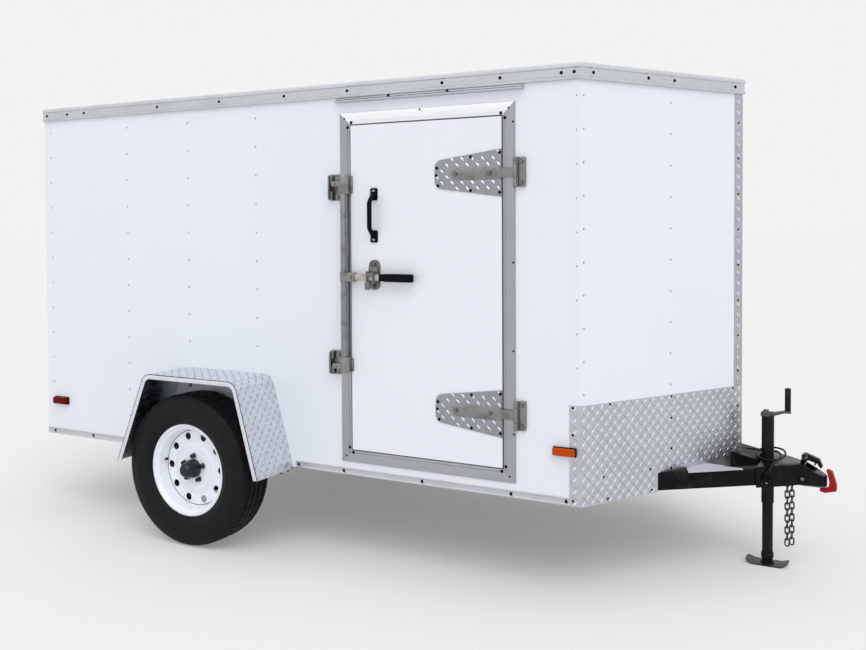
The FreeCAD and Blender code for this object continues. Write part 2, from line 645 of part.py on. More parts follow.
def rear_hinges(x_out, side_gap):
    """Straps on the doors, and butts with their pins on the corner posts."""
    pin_x = x_out - REAR_PIN_OUT
    pin_y = -REAR_PIN_Y
    strap_end = pin_y + REAR_STRAP_LENGTH
    half = REAR_STRAP_HALF
    butt_half = REAR_BUTT_HALF
    straps = []
    butts = []
    for z in REAR_HINGE_ZS:
        strap = box(x_out - PLATE - STRAP_THICK, x_out - PLATE, pin_y, strap_end, z - half, z + half)
        arm = box(pin_x, x_out - PLATE, pin_y, pin_y + REAR_ARM_WIDTH, z - half, z + half)
        pad = box(x_out - PLATE, x_out, -side_gap + 2, strap_end, z - half, z + half)
        knuckle = upright(pin_x, pin_y, z, half, KNUCKLE_RADIUS)
        bore = upright(pin_x, pin_y, z, butt_half, PIN_RADIUS)
        straps.append(strap.fuse([arm, knuckle, pad]).cut(bore).removeSplitter())

        web_end = pin_y - PLATE
        butt = box(x_out - PLATE, x_out, -HALF_WIDTH + REAR_BUTT_EDGE, web_end,
                   z - butt_half, z + butt_half)
        for side in SIDES:
            z0, z1 = sorted((z + side * (half + 1), z + side * butt_half))
            lobe = rod(V(pin_x, pin_y, z0), V(pin_x, pin_y, z1), KNUCKLE_RADIUS)
            web = box(pin_x, x_out, pin_y - REAR_ARM_WIDTH, web_end, z0, z1)
            butt = butt.fuse([lobe, web])
        pin = upright(pin_x, pin_y, z, butt_half + 2, PIN_RADIUS - PIN_SLACK)
        butts.append(butt.fuse(pin).removeSplitter())
    save("right_rear_straps", *straps)
    save("left_rear_straps", *[mirror(s) for s in straps])
    save("rear_hinge_butts", *(butts + [mirror(b) for b in butts]))


def rear_lock(x_out):
    """Full-height bar with cams, guides, arm and grip; its hasp and the two keepers."""
    bar_x = x_out - REAR_BAR_OUT
    y = REAR_BAR_Y
    bar = rod(V(bar_x, y, REAR_BAR_LOW), V(bar_x, y, REAR_BAR_HIGH), REAR_BAR_RADIUS)
    for z in REAR_CAM_ZS:
        bar = bar.fuse(box(bar_x - 8, bar_x + 8, y - 34, y + 4, z - 12, z + 12))
    for z in REAR_GUIDE_ZS:
        bar = bar.fuse(box(bar_x - 16, x_out, y - 20, y + 20, z - 14, z + 14))
    bar = bar.fuse(box(bar_x - 18, bar_x + 12, REAR_ARM_END, y + 18,
                       REAR_ARM_Z - 13, REAR_ARM_Z + 13))
    grip_x = -REAR_REACH + REAR_GRIP_RADIUS
    grip = rod(V(grip_x, REAR_GRIP_END, REAR_ARM_Z), V(grip_x, REAR_GRIP_START, REAR_ARM_Z),
               REAR_GRIP_RADIUS)
    wide, tall = REAR_HASP_SIZE
    hasp = box(x_out - REAR_PLATE, x_out, REAR_HASP_Y - wide / 2, REAR_HASP_Y + wide / 2,
               REAR_ARM_Z - tall / 2, REAR_ARM_Z + tall / 2)
    save("rear_bar_lock", bar.fuse(grip).removeSplitter(), rounded(hasp, wide / 2 - 2, FORWARD))

    keepers = []
    for z in REAR_CAM_ZS:
        plate = box(x_out - REAR_PLATE, x_out, y - 45, y + 15, z - 18, z + 18)
        claw = box(x_out - 40, x_out - REAR_PLATE, y - 52, y - 42, z - 16, z + 16)
        web = box(x_out - REAR_PLATE, x_out, y - 52, y - 42, z - 16, z + 16)
        keepers.append(plate.fuse([claw, web]).removeSplitter())
    save("rear_bar_keepers", *keepers)


def rear_plate_and_lamps(x_out):
    """Tail lamps with round ends and the licence bracket, on the rear sill."""
    half_long, half_tall = TAIL_LAMP_HALF
    lamps = []
    for side in SIDES:
        y = side * TAIL_LAMP_Y
        lamp = box(x_out - TAIL_LAMP_OUT, x_out, y - half_long, y + half_long,
                   SILL_Z - half_tall, SILL_Z + half_tall)
        lamps.append(rounded(lamp, half_tall - 1, FORWARD))
    save("tail_lamps", *lamps)

    y0, y1 = LICENCE_YS
    face = x_out - LICENCE_OUT
    top = SILL_Z + LICENCE_HALF
    bracket = box(face, face + LICENCE_SHEET, y0, y1, SILL_Z - LICENCE_HALF, top)
    bracket = bracket.fuse(box(face, x_out, y0, y1, top - 3, top))
    middle = (y0 + y1) / 2
    for side in SIDES:
        y = middle + side * PLATE_HOLES / 2
        bracket = bracket.cut(rod(V(face - 2, y, SILL_Z), V(face + LICENCE_SHEET + 2, y, SILL_Z),
                                  LICENCE_BORE))
    save("licence_bracket", bracket.removeSplitter())


def marker_lamps():
    """Amber lamps low at the front corners, red ones at the rear and across the header."""
    amber = []
    red = []
    for side in SIDES:
        lamp = sided(side, *AMBER_LAMP_XS, HALF_WIDTH + GUARD_THICK, HALF_WIDTH + AMBER_LAMP_OUT,
                     *AMBER_LAMP_ZS)
        amber.append(rounded(lamp, 5.0, LEFT))
        red.append(sided(side, *RED_LAMP_XS, HALF_WIDTH, HALF_WIDTH + RED_LAMP_OUT, *RED_LAMP_ZS))
    half_long, half_tall = HEADER_LAMP_HALF
    for y in HEADER_LAMP_YS:
        red.append(box(-BOX_LENGTH - HEADER_LAMP_OUT, -BOX_LENGTH, y - half_long, y + half_long,
                       HEADER_LAMP_Z - half_tall, HEADER_LAMP_Z + half_tall))
    save("amber_marker_lamps", *amber)
    save("red_marker_lamps", *red)


# ---------------------------------------------------------------- running gear

def fender_core(inset, y0, y1):
    """Solid under a fender, a distance inside its outer face, with round knees."""
    top = FENDER_TOP - inset
    below = FENDER_BOTTOM - 2 * FENDER_KNEE_RADIUS
    feet = []
    knees = []
    for foot_x, knee_x, inward in zip((FENDER_REAR, FENDER_FRONT), FENDER_KNEES, (1, -1)):
        lean = (knee_x - foot_x) / (FENDER_TOP - FENDER_BOTTOM)
        line_x = foot_x + inward * inset * math.hypot(1, lean)
        feet.append(V(line_x + lean * (below - FENDER_BOTTOM), y0, below))
        knees.append(V(line_x + lean * (top - FENDER_BOTTOM), y0, top))
    core = prism([feet[0], knees[0], knees[1], feet[1]], V(0, y1 - y0, 0))
    core = rounded(core, FENDER_KNEE_RADIUS - inset, LEFT)
    return core.cut(box(FENDER_REAR - 500, FENDER_FRONT + 500, y0 - 1, y1 + 1, 0, FENDER_BOTTOM))


def fenders():
    """Bent tread-plate fenders with a turned-in lip, welded to the side rails."""
    edge = -HALF_WIDTH - FENDER_WIDTH
    lip_in = edge + FENDER_SHEET
    sheet = fender_core(0, edge, -HALF_WIDTH)
    sheet = sheet.cut(fender_core(FENDER_SHEET, edge - 1, -HALF_WIDTH + 1))
    lip = fender_core(0, edge, lip_in).cut(fender_core(FENDER_LIP, edge - 1, lip_in + 1))
    fender = sheet.fuse(lip).removeSplitter()
    save("right_fender", fender)
    save("left_fender", mirror(fender))


def wheel_ring(side, section):
    """Section turned about the axle, on one side of the trailer."""
    points = [V(AXLE_X, side * (WHEEL_Y + w), TYRE_RADIUS + r) for w, r in section]
    face = Part.Face(Part.makePolygon(points + points[:1]))
    solid = face.revolve(V(AXLE_X, side * WHEEL_Y, TYRE_RADIUS), V(0, side, 0), 360)
    return solid if solid.Volume > 0 else solid.reversed()


def wheels():
    """Tyre, pierced steel rim and hub on each side."""
    tyre_section = [(-w, r) for w, r in TYRE_SHOULDER] + TYRE_SHOULDER[::-1]
    for side, name in zip(SIDES, ("right", "left")):
        save(name + "_tyre", wheel_ring(side, tyre_section))
        rim = wheel_ring(side, RIM_SECTION)
        for i in range(RIM_HOLES):
            a = 2 * math.pi * i / RIM_HOLES
            x = AXLE_X + RIM_HOLE_CIRCLE * math.cos(a)
            z = TYRE_RADIUS + RIM_HOLE_CIRCLE * math.sin(a)
            rim = rim.cut(rod(V(x, side * (WHEEL_Y + 6), z), V(x, side * (WHEEL_Y + 20), z),
                              RIM_HOLE_RADIUS))
        save(name + "_rim", rim)
        save(name + "_hub", wheel_ring(side, HUB_SECTION))


def axle():
    """Dropped axle beam, leaf springs, hangers and shackles."""
    reach = SPINDLE_IN - 45
    beam = rod(V(AXLE_X, -reach, BEAM_Z), V(AXLE_X, reach, BEAM_Z), BEAM_RADIUS)
    ends = []
    for side in SIDES:
        block = sided(side, AXLE_X - 28, AXLE_X + 28, SPINDLE_IN - 60, SPINDLE_IN - 10,
                      BEAM_Z - BEAM_RADIUS, TYRE_RADIUS + 20)
        spindle = rod(V(AXLE_X, side * (SPINDLE_IN - 20), TYRE_RADIUS),
                      V(AXLE_X, side * (WHEEL_Y + 45), TYRE_RADIUS), SPINDLE_RADIUS)
        ends.extend([block, spindle])
    save("axle_beam", beam.fuse(ends).removeSplitter())

    hangers = []
    for side in SIDES:
        y = side * SPRING_Y
        hangers.append(box(AXLE_X - 60, AXLE_X + 60, y - 32, y + 32, BEAM_Z - BEAM_RADIUS - 8,
                           BEAM_Z - BEAM_RADIUS))
        for end, half, below in ((1, HANGER_HALF, 16), (-1, SHACKLE_HALF, 10)):
            x = AXLE_X + end * SPRING_HALF
            for offset in HANGER_OFFSETS:
                hangers.append(box(x - half, x + half, y + offset, y + offset + HANGER_SHEET,
                                   EYE_Z - below, BODY_BOTTOM))
    save("leaf_springs", *[leaf_spring(side * SPRING_Y) for side in SIDES])
    save("spring_hangers", *hangers)


def leaf_spring(y):
    """Three curved leaves, each shorter than the one above, with an eye at both ends."""
    sag = EYE_Z - (BEAM_Z + BEAM_RADIUS + len(LEAF_SHARES) * LEAF_THICK)
    thick = V(0, 0, LEAF_THICK)
    leaves = []
    for i, share in enumerate(LEAF_SHARES):
        reach = SPRING_HALF * share
        mid = V(AXLE_X, y - LEAF_HALF_WIDTH, EYE_Z - sag - i * LEAF_THICK)
        rise = V(0, 0, sag * share ** 2)
        rear = mid + rise - FORWARD * reach
        front = mid + rise + FORWARD * reach
        wire = Part.Wire([Part.Arc(rear, mid, front).toShape(),
                          Part.makeLine(front, front + thick),
                          Part.Arc(rear + thick, mid + thick, front + thick).toShape(),
                          Part.makeLine(rear, rear + thick)])
        leaves.append(Part.Face(wire).extrude(LEFT * 2 * LEAF_HALF_WIDTH))
    eyes = []
    for end in SIDES:
        start = V(AXLE_X + end * SPRING_HALF, y - LEAF_HALF_WIDTH, EYE_Z + 8)
        eyes.append(rod(start, start + LEFT * 2 * LEAF_HALF_WIDTH, EYE_RADIUS))
    return leaves[0].fuse(leaves[1:] + eyes).removeSplitter()


# ---------------------------------------------------------------- tongue

def side_plate(outline, half_width):
    """Side outline of (x, z) pairs, as wide as twice a half width about the centre plane."""
    return prism([V(x, -half_width, z) for x, z in outline], V(0, 2 * half_width, 0))


def tongue():
    """Tongue rails, gussets, coupler with its latch and lock."""
    rail = plan(tongue_rail_outline(), RAIL_BOTTOM, RAIL_TOP)
    rails = rail.fuse(mirror(rail))
    save("tongue_rails", *both(rail))

    clear = -GUARD_THICK - 0.5
    nose_face = plan([corner_at(clear), apex_at(clear), (-10, 0)], 300, 600)
    gusset = plan([(200, -rail_y(200) + 2), (260, -150), (340, -150), (352, -186), (492, -186),
                   (500, -rail_y(500) + 2)], RAIL_TOP, RAIL_TOP + GUSSET_THICK)
    gusset = gusset.cut(nose_face)
    bridge = side_plate(BRIDGE_SIDE, BRIDGE_HALF)
    bridge = bridge.cut([nose_face, mirror(nose_face), rails]).removeSplitter()
    save("tongue_plates", gusset, mirror(gusset), bridge)

    shell = coupler(rails)
    save("coupler", shell)
    save("coupler_latch", side_plate(LATCH_SIDE, LATCH_HALF).cut(shell))
    save("coupler_lock", side_plate(LOCK_SIDE, LOCK_HALF).cut(shell))


def coupler_plan(inset):
    """Plan outline of the coupler's right half, a distance inside its outer face."""
    lip = COUPLER_SHEET - inset
    throat = COUPLER_THROAT - inset
    outline = [(COUPLER_BACK, -rail_y(COUPLER_BACK, -lip)),
               (RAIL_FRONT_X, -rail_y(RAIL_FRONT_X, -lip)), (THROAT_X, -throat), (BALL_X, -throat)]
    for dx, y in COUPLER_NOSE:
        outline.append((BALL_X + dx - inset, -y + inset))
    outline.append((BALL_X + COUPLER_NOSE[-1][0] - inset, 0.0))
    outline.append((COUPLER_BACK, 0.0))
    return outline


def coupler(rails):
    """Pressed coupler over the rails' ends, with its socket, and the pins for the chains."""
    low, top = COUPLER_LOW, COUPLER_TOP
    shell = plan(coupler_plan(0), low, top)
    hollow = plan(coupler_plan(COUPLER_SHEET), low - 1, top - COUPLER_SHEET)
    socket = rod(V(BALL_X, 0, low), V(BALL_X, 0, top - 30), COUPLER_THROAT - 1)
    shell = shell.fuse(mirror(shell)).cut([hollow, mirror(hollow)]).fuse(socket)
    ramp = side_plate(COUPLER_RAMP, 99)
    ball_z = low + 20
    ball = Part.makeSphere(BALL_RADIUS, V(BALL_X, 0, ball_z))
    mouth = rod(V(BALL_X, 0, low - 1), V(BALL_X, 0, ball_z), BALL_RADIUS)
    jack_hole = rod(V(JACK_X, 0, low), V(JACK_X, 0, top + 1), JACK_RADIUS)
    lead_x, lead_y = CABLE_ROUTE[0][:2]
    lead_hole = rod(V(lead_x, lead_y, low), V(lead_x, lead_y, top + 1), CABLE_DIAMETER + 1.0)
    shell = shell.cut([ramp, ball, mouth, jack_hole, rails, lead_hole])
    neck = rail_y(RAIL_FRONT_X, -COUPLER_SHEET)
    taper = (neck - COUPLER_THROAT) / (THROAT_X - RAIL_FRONT_X)
    for x in CHAIN_XS:
        reach = neck - (x - RAIL_FRONT_X) * taper - 2.0
        shell = shell.fuse(rod(V(x, -reach, CHAIN_PIN_Z), V(x, reach, CHAIN_PIN_Z),
                               CHAIN_PIN_RADIUS))
    return shell.removeSplitter()


def link(centre, direction):
    """One chain link standing upright, its plane holding Z and the given direction."""
    straight = LINK_REACH - LINK_HALF_WIDTH
    across = UP.cross(direction)
    pieces = []
    for s in SIDES:
        low = centre + direction * (s * LINK_HALF_WIDTH) - UP * straight
        pieces.append(rod(low, low + UP * (2 * straight), CHAIN_WIRE))
        ring = Part.makeTorus(LINK_HALF_WIDTH, CHAIN_WIRE, centre + UP * (s * straight), across)
        z0 = centre.z + s * straight
        keep = box(centre.x - 20, centre.x + 20, centre.y - 20, centre.y + 20,
                   min(z0, z0 + s * 20), max(z0, z0 + s * 20))
        pieces.append(ring.common(keep))
    return pieces[0].fuse(pieces[1:]).removeSplitter()


def safety_chains():
    """Two chains hanging straight down from the pins inside the coupler."""
    links = []
    pitch = 2 * LINK_REACH - 2 * CHAIN_WIRE - 0.3
    first = CHAIN_PIN_Z + CHAIN_PIN_RADIUS + CHAIN_WIRE + 0.2 - LINK_REACH
    for x, y in zip(CHAIN_XS, CHAIN_YS):
        for i in range(LINKS):
            direction = FORWARD if i % 2 == 0 else LEFT
            links.append(link(V(x, y, first - i * pitch), direction))
    save("safety_chains", *links)


# Wiring lead: up out of the coupler, once and a half round the jack, then over the edge.
CABLE_ROUTE = [
    (542, 40, 424), (542, 41, 446), (554, 50, 468), (582, 49, 476), (606, 30, 470),
    (614, -2, 461), (602, -34, 455), (572, -52, 454), (538, -50, 459), (514, -28, 466),
    (508, 6, 473), (522, 38, 479), (553, 57, 485), (586, 53, 488), (614, 36, 487),
    (630, 8, 482), (632, -26, 474), (622, -61, 467), (609, -98, 463), (600, -130, 460),
    (594, -152, 444), (590, -160, 420),
]


def cord_tube(points, diameter):
    """Round tube along straight runs joined by tangent arcs; returns it with its length."""
    pts = [V(*p) for p in points]
    edges = []
    here = pts[0]
    radii = []
    for before, at, after in zip(pts, pts[1:], pts[2:]):
        run_in = at - before
        run_out = after - at
        turn = run_in.getAngle(run_out)
        radius = 0.45 * min(run_in.Length, run_out.Length) / math.tan(turn / 2)
        cut = radius * math.tan(turn / 2)
        start = at - run_in.normalize() * cut
        end = at + run_out.normalize() * cut
        inward = (run_out - run_in).normalize()
        middle = at + inward * (radius / math.cos(turn / 2) - radius)
        edges.append(Part.LineSegment(here, start).toShape())
        edges.append(Part.Arc(start, middle, end).toShape())
        radii.append(radius)
        here = end
    edges.append(Part.LineSegment(here, pts[-1]).toShape())
    path = Part.Wire(edges)
    circle = Part.makeCircle(diameter / 2, pts[0], pts[1] - pts[0])
    tube_shape = path.makePipeShell([Part.Wire([circle])], True, False)
    print("cord radii", [round(r, 1) for r in radii])
    area = math.pi * diameter * diameter / 4
    print("cord length %.1f, volume %.0f against section times length %.0f" % (
        path.Length, tube_shape.Volume, area * path.Length))
    return tube_shape


def wiring():
    """Lead wound round the jack, with its flat connector hanging beside the coupler."""
    save("wiring_cable", cord_tube(CABLE_ROUTE, CABLE_DIAMETER))
    end = V(*CABLE_ROUTE[-1])
    along = (end - V(*CABLE_ROUTE[-2])).normalize()
    plug = box(-9, 9, -6, 6, 0, 38)
    plug = rounded(plug, 3.0, UP)
    plug.Placement = FreeCAD.Placement(end, FreeCAD.Rotation(UP, along))
    save("wiring_plug", plug)


def jack():
    """Screw jack: outer tube, crank, and the leg with its foot that slides inside."""
    def at(z):
        return V(JACK_X, 0, z)

    barrel = tube(at(JACK_TUBE_BOTTOM), at(JACK_TUBE_TOP - JACK_CAP), JACK_RADIUS,
                  LEG_RADIUS + LEG_SLACK)
    cap = rod(at(JACK_TUBE_TOP - JACK_CAP), at(JACK_TUBE_TOP), JACK_RADIUS + 1)
    save("jack_tube", barrel.fuse(cap).removeSplitter())

    hub = rod(V(CRANK_X, 0, JACK_TUBE_TOP), V(CRANK_X, 0, CRANK_HUB_TOP), CRANK_HUB_RADIUS)
    arm = box(CRANK_X - 12, CRANK_END, -CRANK_HALF_WIDTH, CRANK_HALF_WIDTH, *CRANK_ARM_ZS)
    grip = rod(V(GRIP_X, 0, CRANK_ARM_ZS[1]), V(GRIP_X, 0, GRIP_TOP), GRIP_RADIUS)
    save("jack_crank", hub.fuse([arm, grip]).removeSplitter())

    leg = rod(at(LEG_BOTTOM), at(LEG_TOP), LEG_RADIUS)
    collar = rod(at(28), at(50), JACK_RADIUS)
    half_long, half_wide = FOOT_HALF
    foot = box(JACK_X - half_long, JACK_X + half_long, -half_wide, half_wide, 0, FOOT_THICK)
    for end in SIDES:
        edge = [(JACK_X + end * (half_long + dx), z) for dx, z in FOOT_EDGE]
        foot = foot.fuse(side_plate(edge, half_wide))
    save("jack_leg", leg.fuse([collar, foot]).removeSplitter())


chassis()
body_shell()
trims()
side_door()
side_hinges()
grab_handle()
side_lock()
rear_doors()
marker_lamps()
fenders()
wheels()
axle()
tongue()
safety_chains()
wiring()
jack()
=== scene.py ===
import bmesh
import bpy
import math
from mathutils import Matrix, Vector


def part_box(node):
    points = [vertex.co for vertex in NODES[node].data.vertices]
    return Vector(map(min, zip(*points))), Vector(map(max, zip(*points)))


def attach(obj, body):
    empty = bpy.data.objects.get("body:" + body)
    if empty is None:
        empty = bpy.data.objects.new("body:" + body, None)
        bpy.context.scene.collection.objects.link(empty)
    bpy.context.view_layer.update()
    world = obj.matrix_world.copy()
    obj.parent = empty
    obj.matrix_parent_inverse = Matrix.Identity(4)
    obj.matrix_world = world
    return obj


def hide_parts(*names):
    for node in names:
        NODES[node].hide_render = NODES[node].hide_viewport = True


bl_info = {
    "name": "Enclosed Cargo Trailer",
    "version": (1, 0, 0),
    "blender": (4, 5, 0),
    "location": "View3D > Sidebar > Trailer",
    "description": "Finishes a V-nose cargo trailer: panels, trim, doors, wheels and tongue",
    "category": "Object",
}

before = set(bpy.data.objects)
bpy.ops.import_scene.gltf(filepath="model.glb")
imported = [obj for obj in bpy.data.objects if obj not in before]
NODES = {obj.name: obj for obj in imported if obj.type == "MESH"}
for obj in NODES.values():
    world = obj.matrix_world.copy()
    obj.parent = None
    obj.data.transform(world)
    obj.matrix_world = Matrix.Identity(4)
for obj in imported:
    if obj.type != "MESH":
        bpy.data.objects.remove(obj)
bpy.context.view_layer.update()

UP = Vector((0, 0, 1))
AHEAD = Vector((1, 0, 0))
LEFT = Vector((0, 1, 0))
SIDES = (-1, 1)

# Places that the pieces are set out from, all read off the frame.
CORNER_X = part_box("right_wall")[1].x
REAR_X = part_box("rear_frame")[0].x
SKIN_Y = -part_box("right_wall")[0].y
APEX_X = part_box("right_nose")[1].x
BODY_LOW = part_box("rear_frame")[0].z
ROOF_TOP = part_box("side_roof_rails")[1].z
RAIL_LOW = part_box("side_roof_rails")[0].z
GUARD_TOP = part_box("stone_guard")[1].z
NOSE_ANGLE = math.atan2(SKIN_Y, APEX_X - CORNER_X)
NOSE_ALONG = Vector((math.cos(NOSE_ANGLE), math.sin(NOSE_ANGLE), 0))
NOSE_OUT = Vector((math.sin(NOSE_ANGLE), -math.cos(NOSE_ANGLE), 0))
NOSE_PANEL = (APEX_X - CORNER_X) / math.cos(NOSE_ANGLE)
DOOR_FRAME_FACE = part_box("side_door")[0].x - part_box("side_door_frame")[0].x - 0.005
AXLE = (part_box("right_tyre")[0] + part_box("right_tyre")[1]) / 2

FINISH = {}


def spot(x, y, z):
    """Point given by its distance ahead of the front corners, its y and its height."""
    return Vector((CORNER_X + x, y, z))


def nose_spot(distance, z, out=0.0):
    """Point on the right nose face, a distance from the corner and a distance off the skin."""
    start = Vector((CORNER_X, -SKIN_Y, z))
    return start + NOSE_ALONG * distance + NOSE_OUT * out


def other_side(vector):
    """The same point or direction on the other side of the trailer."""
    return Vector((vector.x, -vector.y, vector.z))


# ---------------------------------------------------------------- materials

class Graph:
    """A material's node tree, with short calls for the nodes that the finishes use."""

    def __init__(self, name, roughness=0.5, metallic=0.0):
        self.material = bpy.data.materials.new(name)
        self.material.use_nodes = True
        self.tree = self.material.node_tree
        self.tree.nodes.clear()
        output = self.tree.nodes.new("ShaderNodeOutputMaterial")
        self.shader = self.tree.nodes.new("ShaderNodeBsdfPrincipled")
        self.tree.links.new(self.shader.outputs["BSDF"], output.inputs["Surface"])
        self.place = self.tree.nodes.new("ShaderNodeTexCoord").outputs["Object"]
        self.set("Roughness", roughness)
        self.set("Metallic", metallic)
        FINISH[name] = self.material

    def set(self, socket, value):
        """Give a shader socket a plain value or another node's output."""
        if isinstance(value, bpy.types.NodeSocket):
            self.tree.links.new(value, self.shader.inputs[socket])
        else:
            self.shader.inputs[socket].default_value = value
        return self

    def noise(self, scale, detail=3.0, stretch=(1, 1, 1), rough=0.5):
        """Noise value at a number of features a metre, drawn out by a stretch."""
        mapping = self.tree.nodes.new("ShaderNodeMapping")
        mapping.inputs["Scale"].default_value = stretch
        self.tree.links.new(self.place, mapping.inputs["Vector"])
        node = self.tree.nodes.new("ShaderNodeTexNoise")
        node.inputs["Scale"].default_value = scale
        node.inputs["Detail"].default_value = detail
        node.inputs["Roughness"].default_value = rough
        self.tree.links.new(mapping.outputs["Vector"], node.inputs["Vector"])
        return node.outputs["Fac"]

    def cells(self, scale, feature="F1"):
        """Cell pattern, as zinc spangle shows."""
        node = self.tree.nodes.new("ShaderNodeTexVoronoi")
        node.feature = feature
        node.inputs["Scale"].default_value = scale
        self.tree.links.new(self.place, node.inputs["Vector"])
        return node

    def height(self):
        """Height above the ground."""
        node = self.tree.nodes.new("ShaderNodeSeparateXYZ")
        self.tree.links.new(self.place, node.inputs["Vector"])
        return node.outputs["Z"]

    def spread(self, value, low, high, to_low=0.0, to_high=1.0):
        """A value's range moved to another range."""
        node = self.tree.nodes.new("ShaderNodeMapRange")
        node.inputs["From Min"].default_value = low
        node.inputs["From Max"].default_value = high
        node.inputs["To Min"].default_value = to_low
        node.inputs["To Max"].default_value = to_high
        self.tree.links.new(value, node.inputs["Value"])
        return node.outputs["Result"]

    def blend(self, factor, a, b):
        """Two colours mixed by a value."""
        node = self.tree.nodes.new("ShaderNodeMix")
        node.data_type = "RGBA"
        self.tree.links.new(factor, node.inputs["Factor"])
        for socket, value in ((node.inputs[6], a), (node.inputs[7], b)):
            if isinstance(value, bpy.types.NodeSocket):
                self.tree.links.new(value, socket)
            else:
                socket.default_value = (*value[:3], 1.0)
        return node.outputs[2]

    def bump(self, height, strength, distance):
        """Relief from a height value."""
        node = self.tree.nodes.new("ShaderNodeBump")
        node.inputs["Strength"].default_value = strength
        node.inputs["Distance"].default_value = distance
        self.tree.links.new(height, node.inputs["Height"])
        self.set("Normal", node.outputs["Normal"])
        return self


def shade(colour, factor):
    """A colour made darker or lighter."""
    return tuple(min(1.0, c * factor) for c in colour[:3])


def painted_panel(name, colour, roughness=0.3):
    """White baked paint on thin sheet, with faint waves in the sheet."""
    g = Graph(name, roughness=roughness)
    waves = g.noise(1.3, 1.0, (1, 1, 0.4))
    g.set("Base Color", g.blend(g.spread(waves, 0.35, 0.65), shade(colour, 0.99), colour))
    g.set("Coat Weight", 0.2)
    g.set("Coat Roughness", 0.1)
    g.bump(waves, 0.1, 0.003)


def wheel_paint_with_painted_shade(name, colour):
    """White wheel paint, with painted shade: near black on the inner side of the disc, where the
    wheel well's shade falls.
    """
    g = Graph(name, roughness=0.24)
    parts = g.tree.nodes.new("ShaderNodeSeparateXYZ")
    g.tree.links.new(g.place, parts.inputs["Vector"])
    out = g.tree.nodes.new("ShaderNodeMath")
    out.operation = "ABSOLUTE"
    g.tree.links.new(parts.outputs["Y"], out.inputs[0])
    edge = abs(AXLE.y) + 0.0125
    specks = g.noise(90.0, 4.0)
    face = g.blend(g.spread(specks, 0.62, 0.8), colour, shade(colour, 0.8))
    # Painted shade: all of the rim inboard of the disc's face is near black.
    g.set("Base Color", g.blend(g.spread(out.outputs["Value"], edge - 0.001, edge),
                                (0.03, 0.03, 0.032), face))
    g.set("Coat Weight", 0.3)


def bright_metal(name, colour, roughness, stretch, grain=220.0, metallic=1.0, stains=0.35):
    """Drawn or rolled metal with fine lines along its length and patches of dulling."""
    g = Graph(name, metallic=metallic)
    lines = g.noise(grain, 4.0, stretch)
    patches = g.noise(6.0, 4.0)
    base = g.blend(g.spread(lines, 0.3, 0.7), shade(colour, 0.88), colour)
    dulled = g.spread(patches, 0.48, 0.78, 0.0, stains)
    g.set("Base Color", g.blend(dulled, base, shade(colour, 0.68)))
    g.set("Roughness", g.spread(lines, 0.3, 0.7, roughness - 0.07, roughness + 0.09))
    g.bump(lines, 0.12, 0.0005)


def spangled(name, colour, dark, roughness, scale=260.0):
    """Zinc coating: small dull and bright crystals, with dirt in patches."""
    g = Graph(name, metallic=0.9)
    crystal = g.cells(scale)
    dirt = g.noise(22.0, 4.0)
    base = g.blend(crystal.outputs["Distance"], shade(colour, 0.8), shade(colour, 1.15))
    g.set("Base Color", g.blend(g.spread(dirt, 0.5, 0.85), base, dark))
    g.set("Roughness", g.spread(dirt, 0.3, 0.7, roughness - 0.1, roughness + 0.12))
    g.bump(dirt, 0.15, 0.0006)


def enamel(name, colour, dust, roughness=0.34, gloss=0.16):
    """Black brushed-on enamel: brush ripple, dulled high spots and settled dust."""
    g = Graph(name, roughness=roughness)
    g.set("Specular IOR Level", gloss)
    ripple = g.noise(60.0, 3.0)
    wear = g.noise(13.0, 7.0, rough=0.7)
    g.set("Base Color", g.blend(g.spread(wear, 0.54, 0.82), colour, dust))
    g.set("Roughness", g.spread(wear, 0.3, 0.75, roughness, roughness + 0.3))
    g.bump(ripple, 0.25, 0.0012)


def moulded(name, colour, roughness, gloss=0.16):
    """Moulded plastic or rubber with a fine texture."""
    g = Graph(name, roughness=roughness)
    g.set("Specular IOR Level", gloss)
    fine = g.noise(700.0, 2.0)
    g.set("Base Color", g.blend(g.spread(g.noise(15.0, 4.0), 0.35, 0.75), colour,
                                shade(colour, 1.35)))
    g.bump(fine, 0.2, 0.0003)


def lens(name, colour, gloss):
    """Clear coloured moulding: prisms behind a smooth face."""
    g = Graph(name, roughness=0.16)
    g.set("Specular IOR Level", gloss)
    prisms = g.noise(160.0, 1.0, (1, 0.2, 1))
    g.set("Base Color", g.blend(prisms, shade(colour, 0.7), shade(colour, 1.1)))
    g.bump(prisms, 0.2, 0.0006)


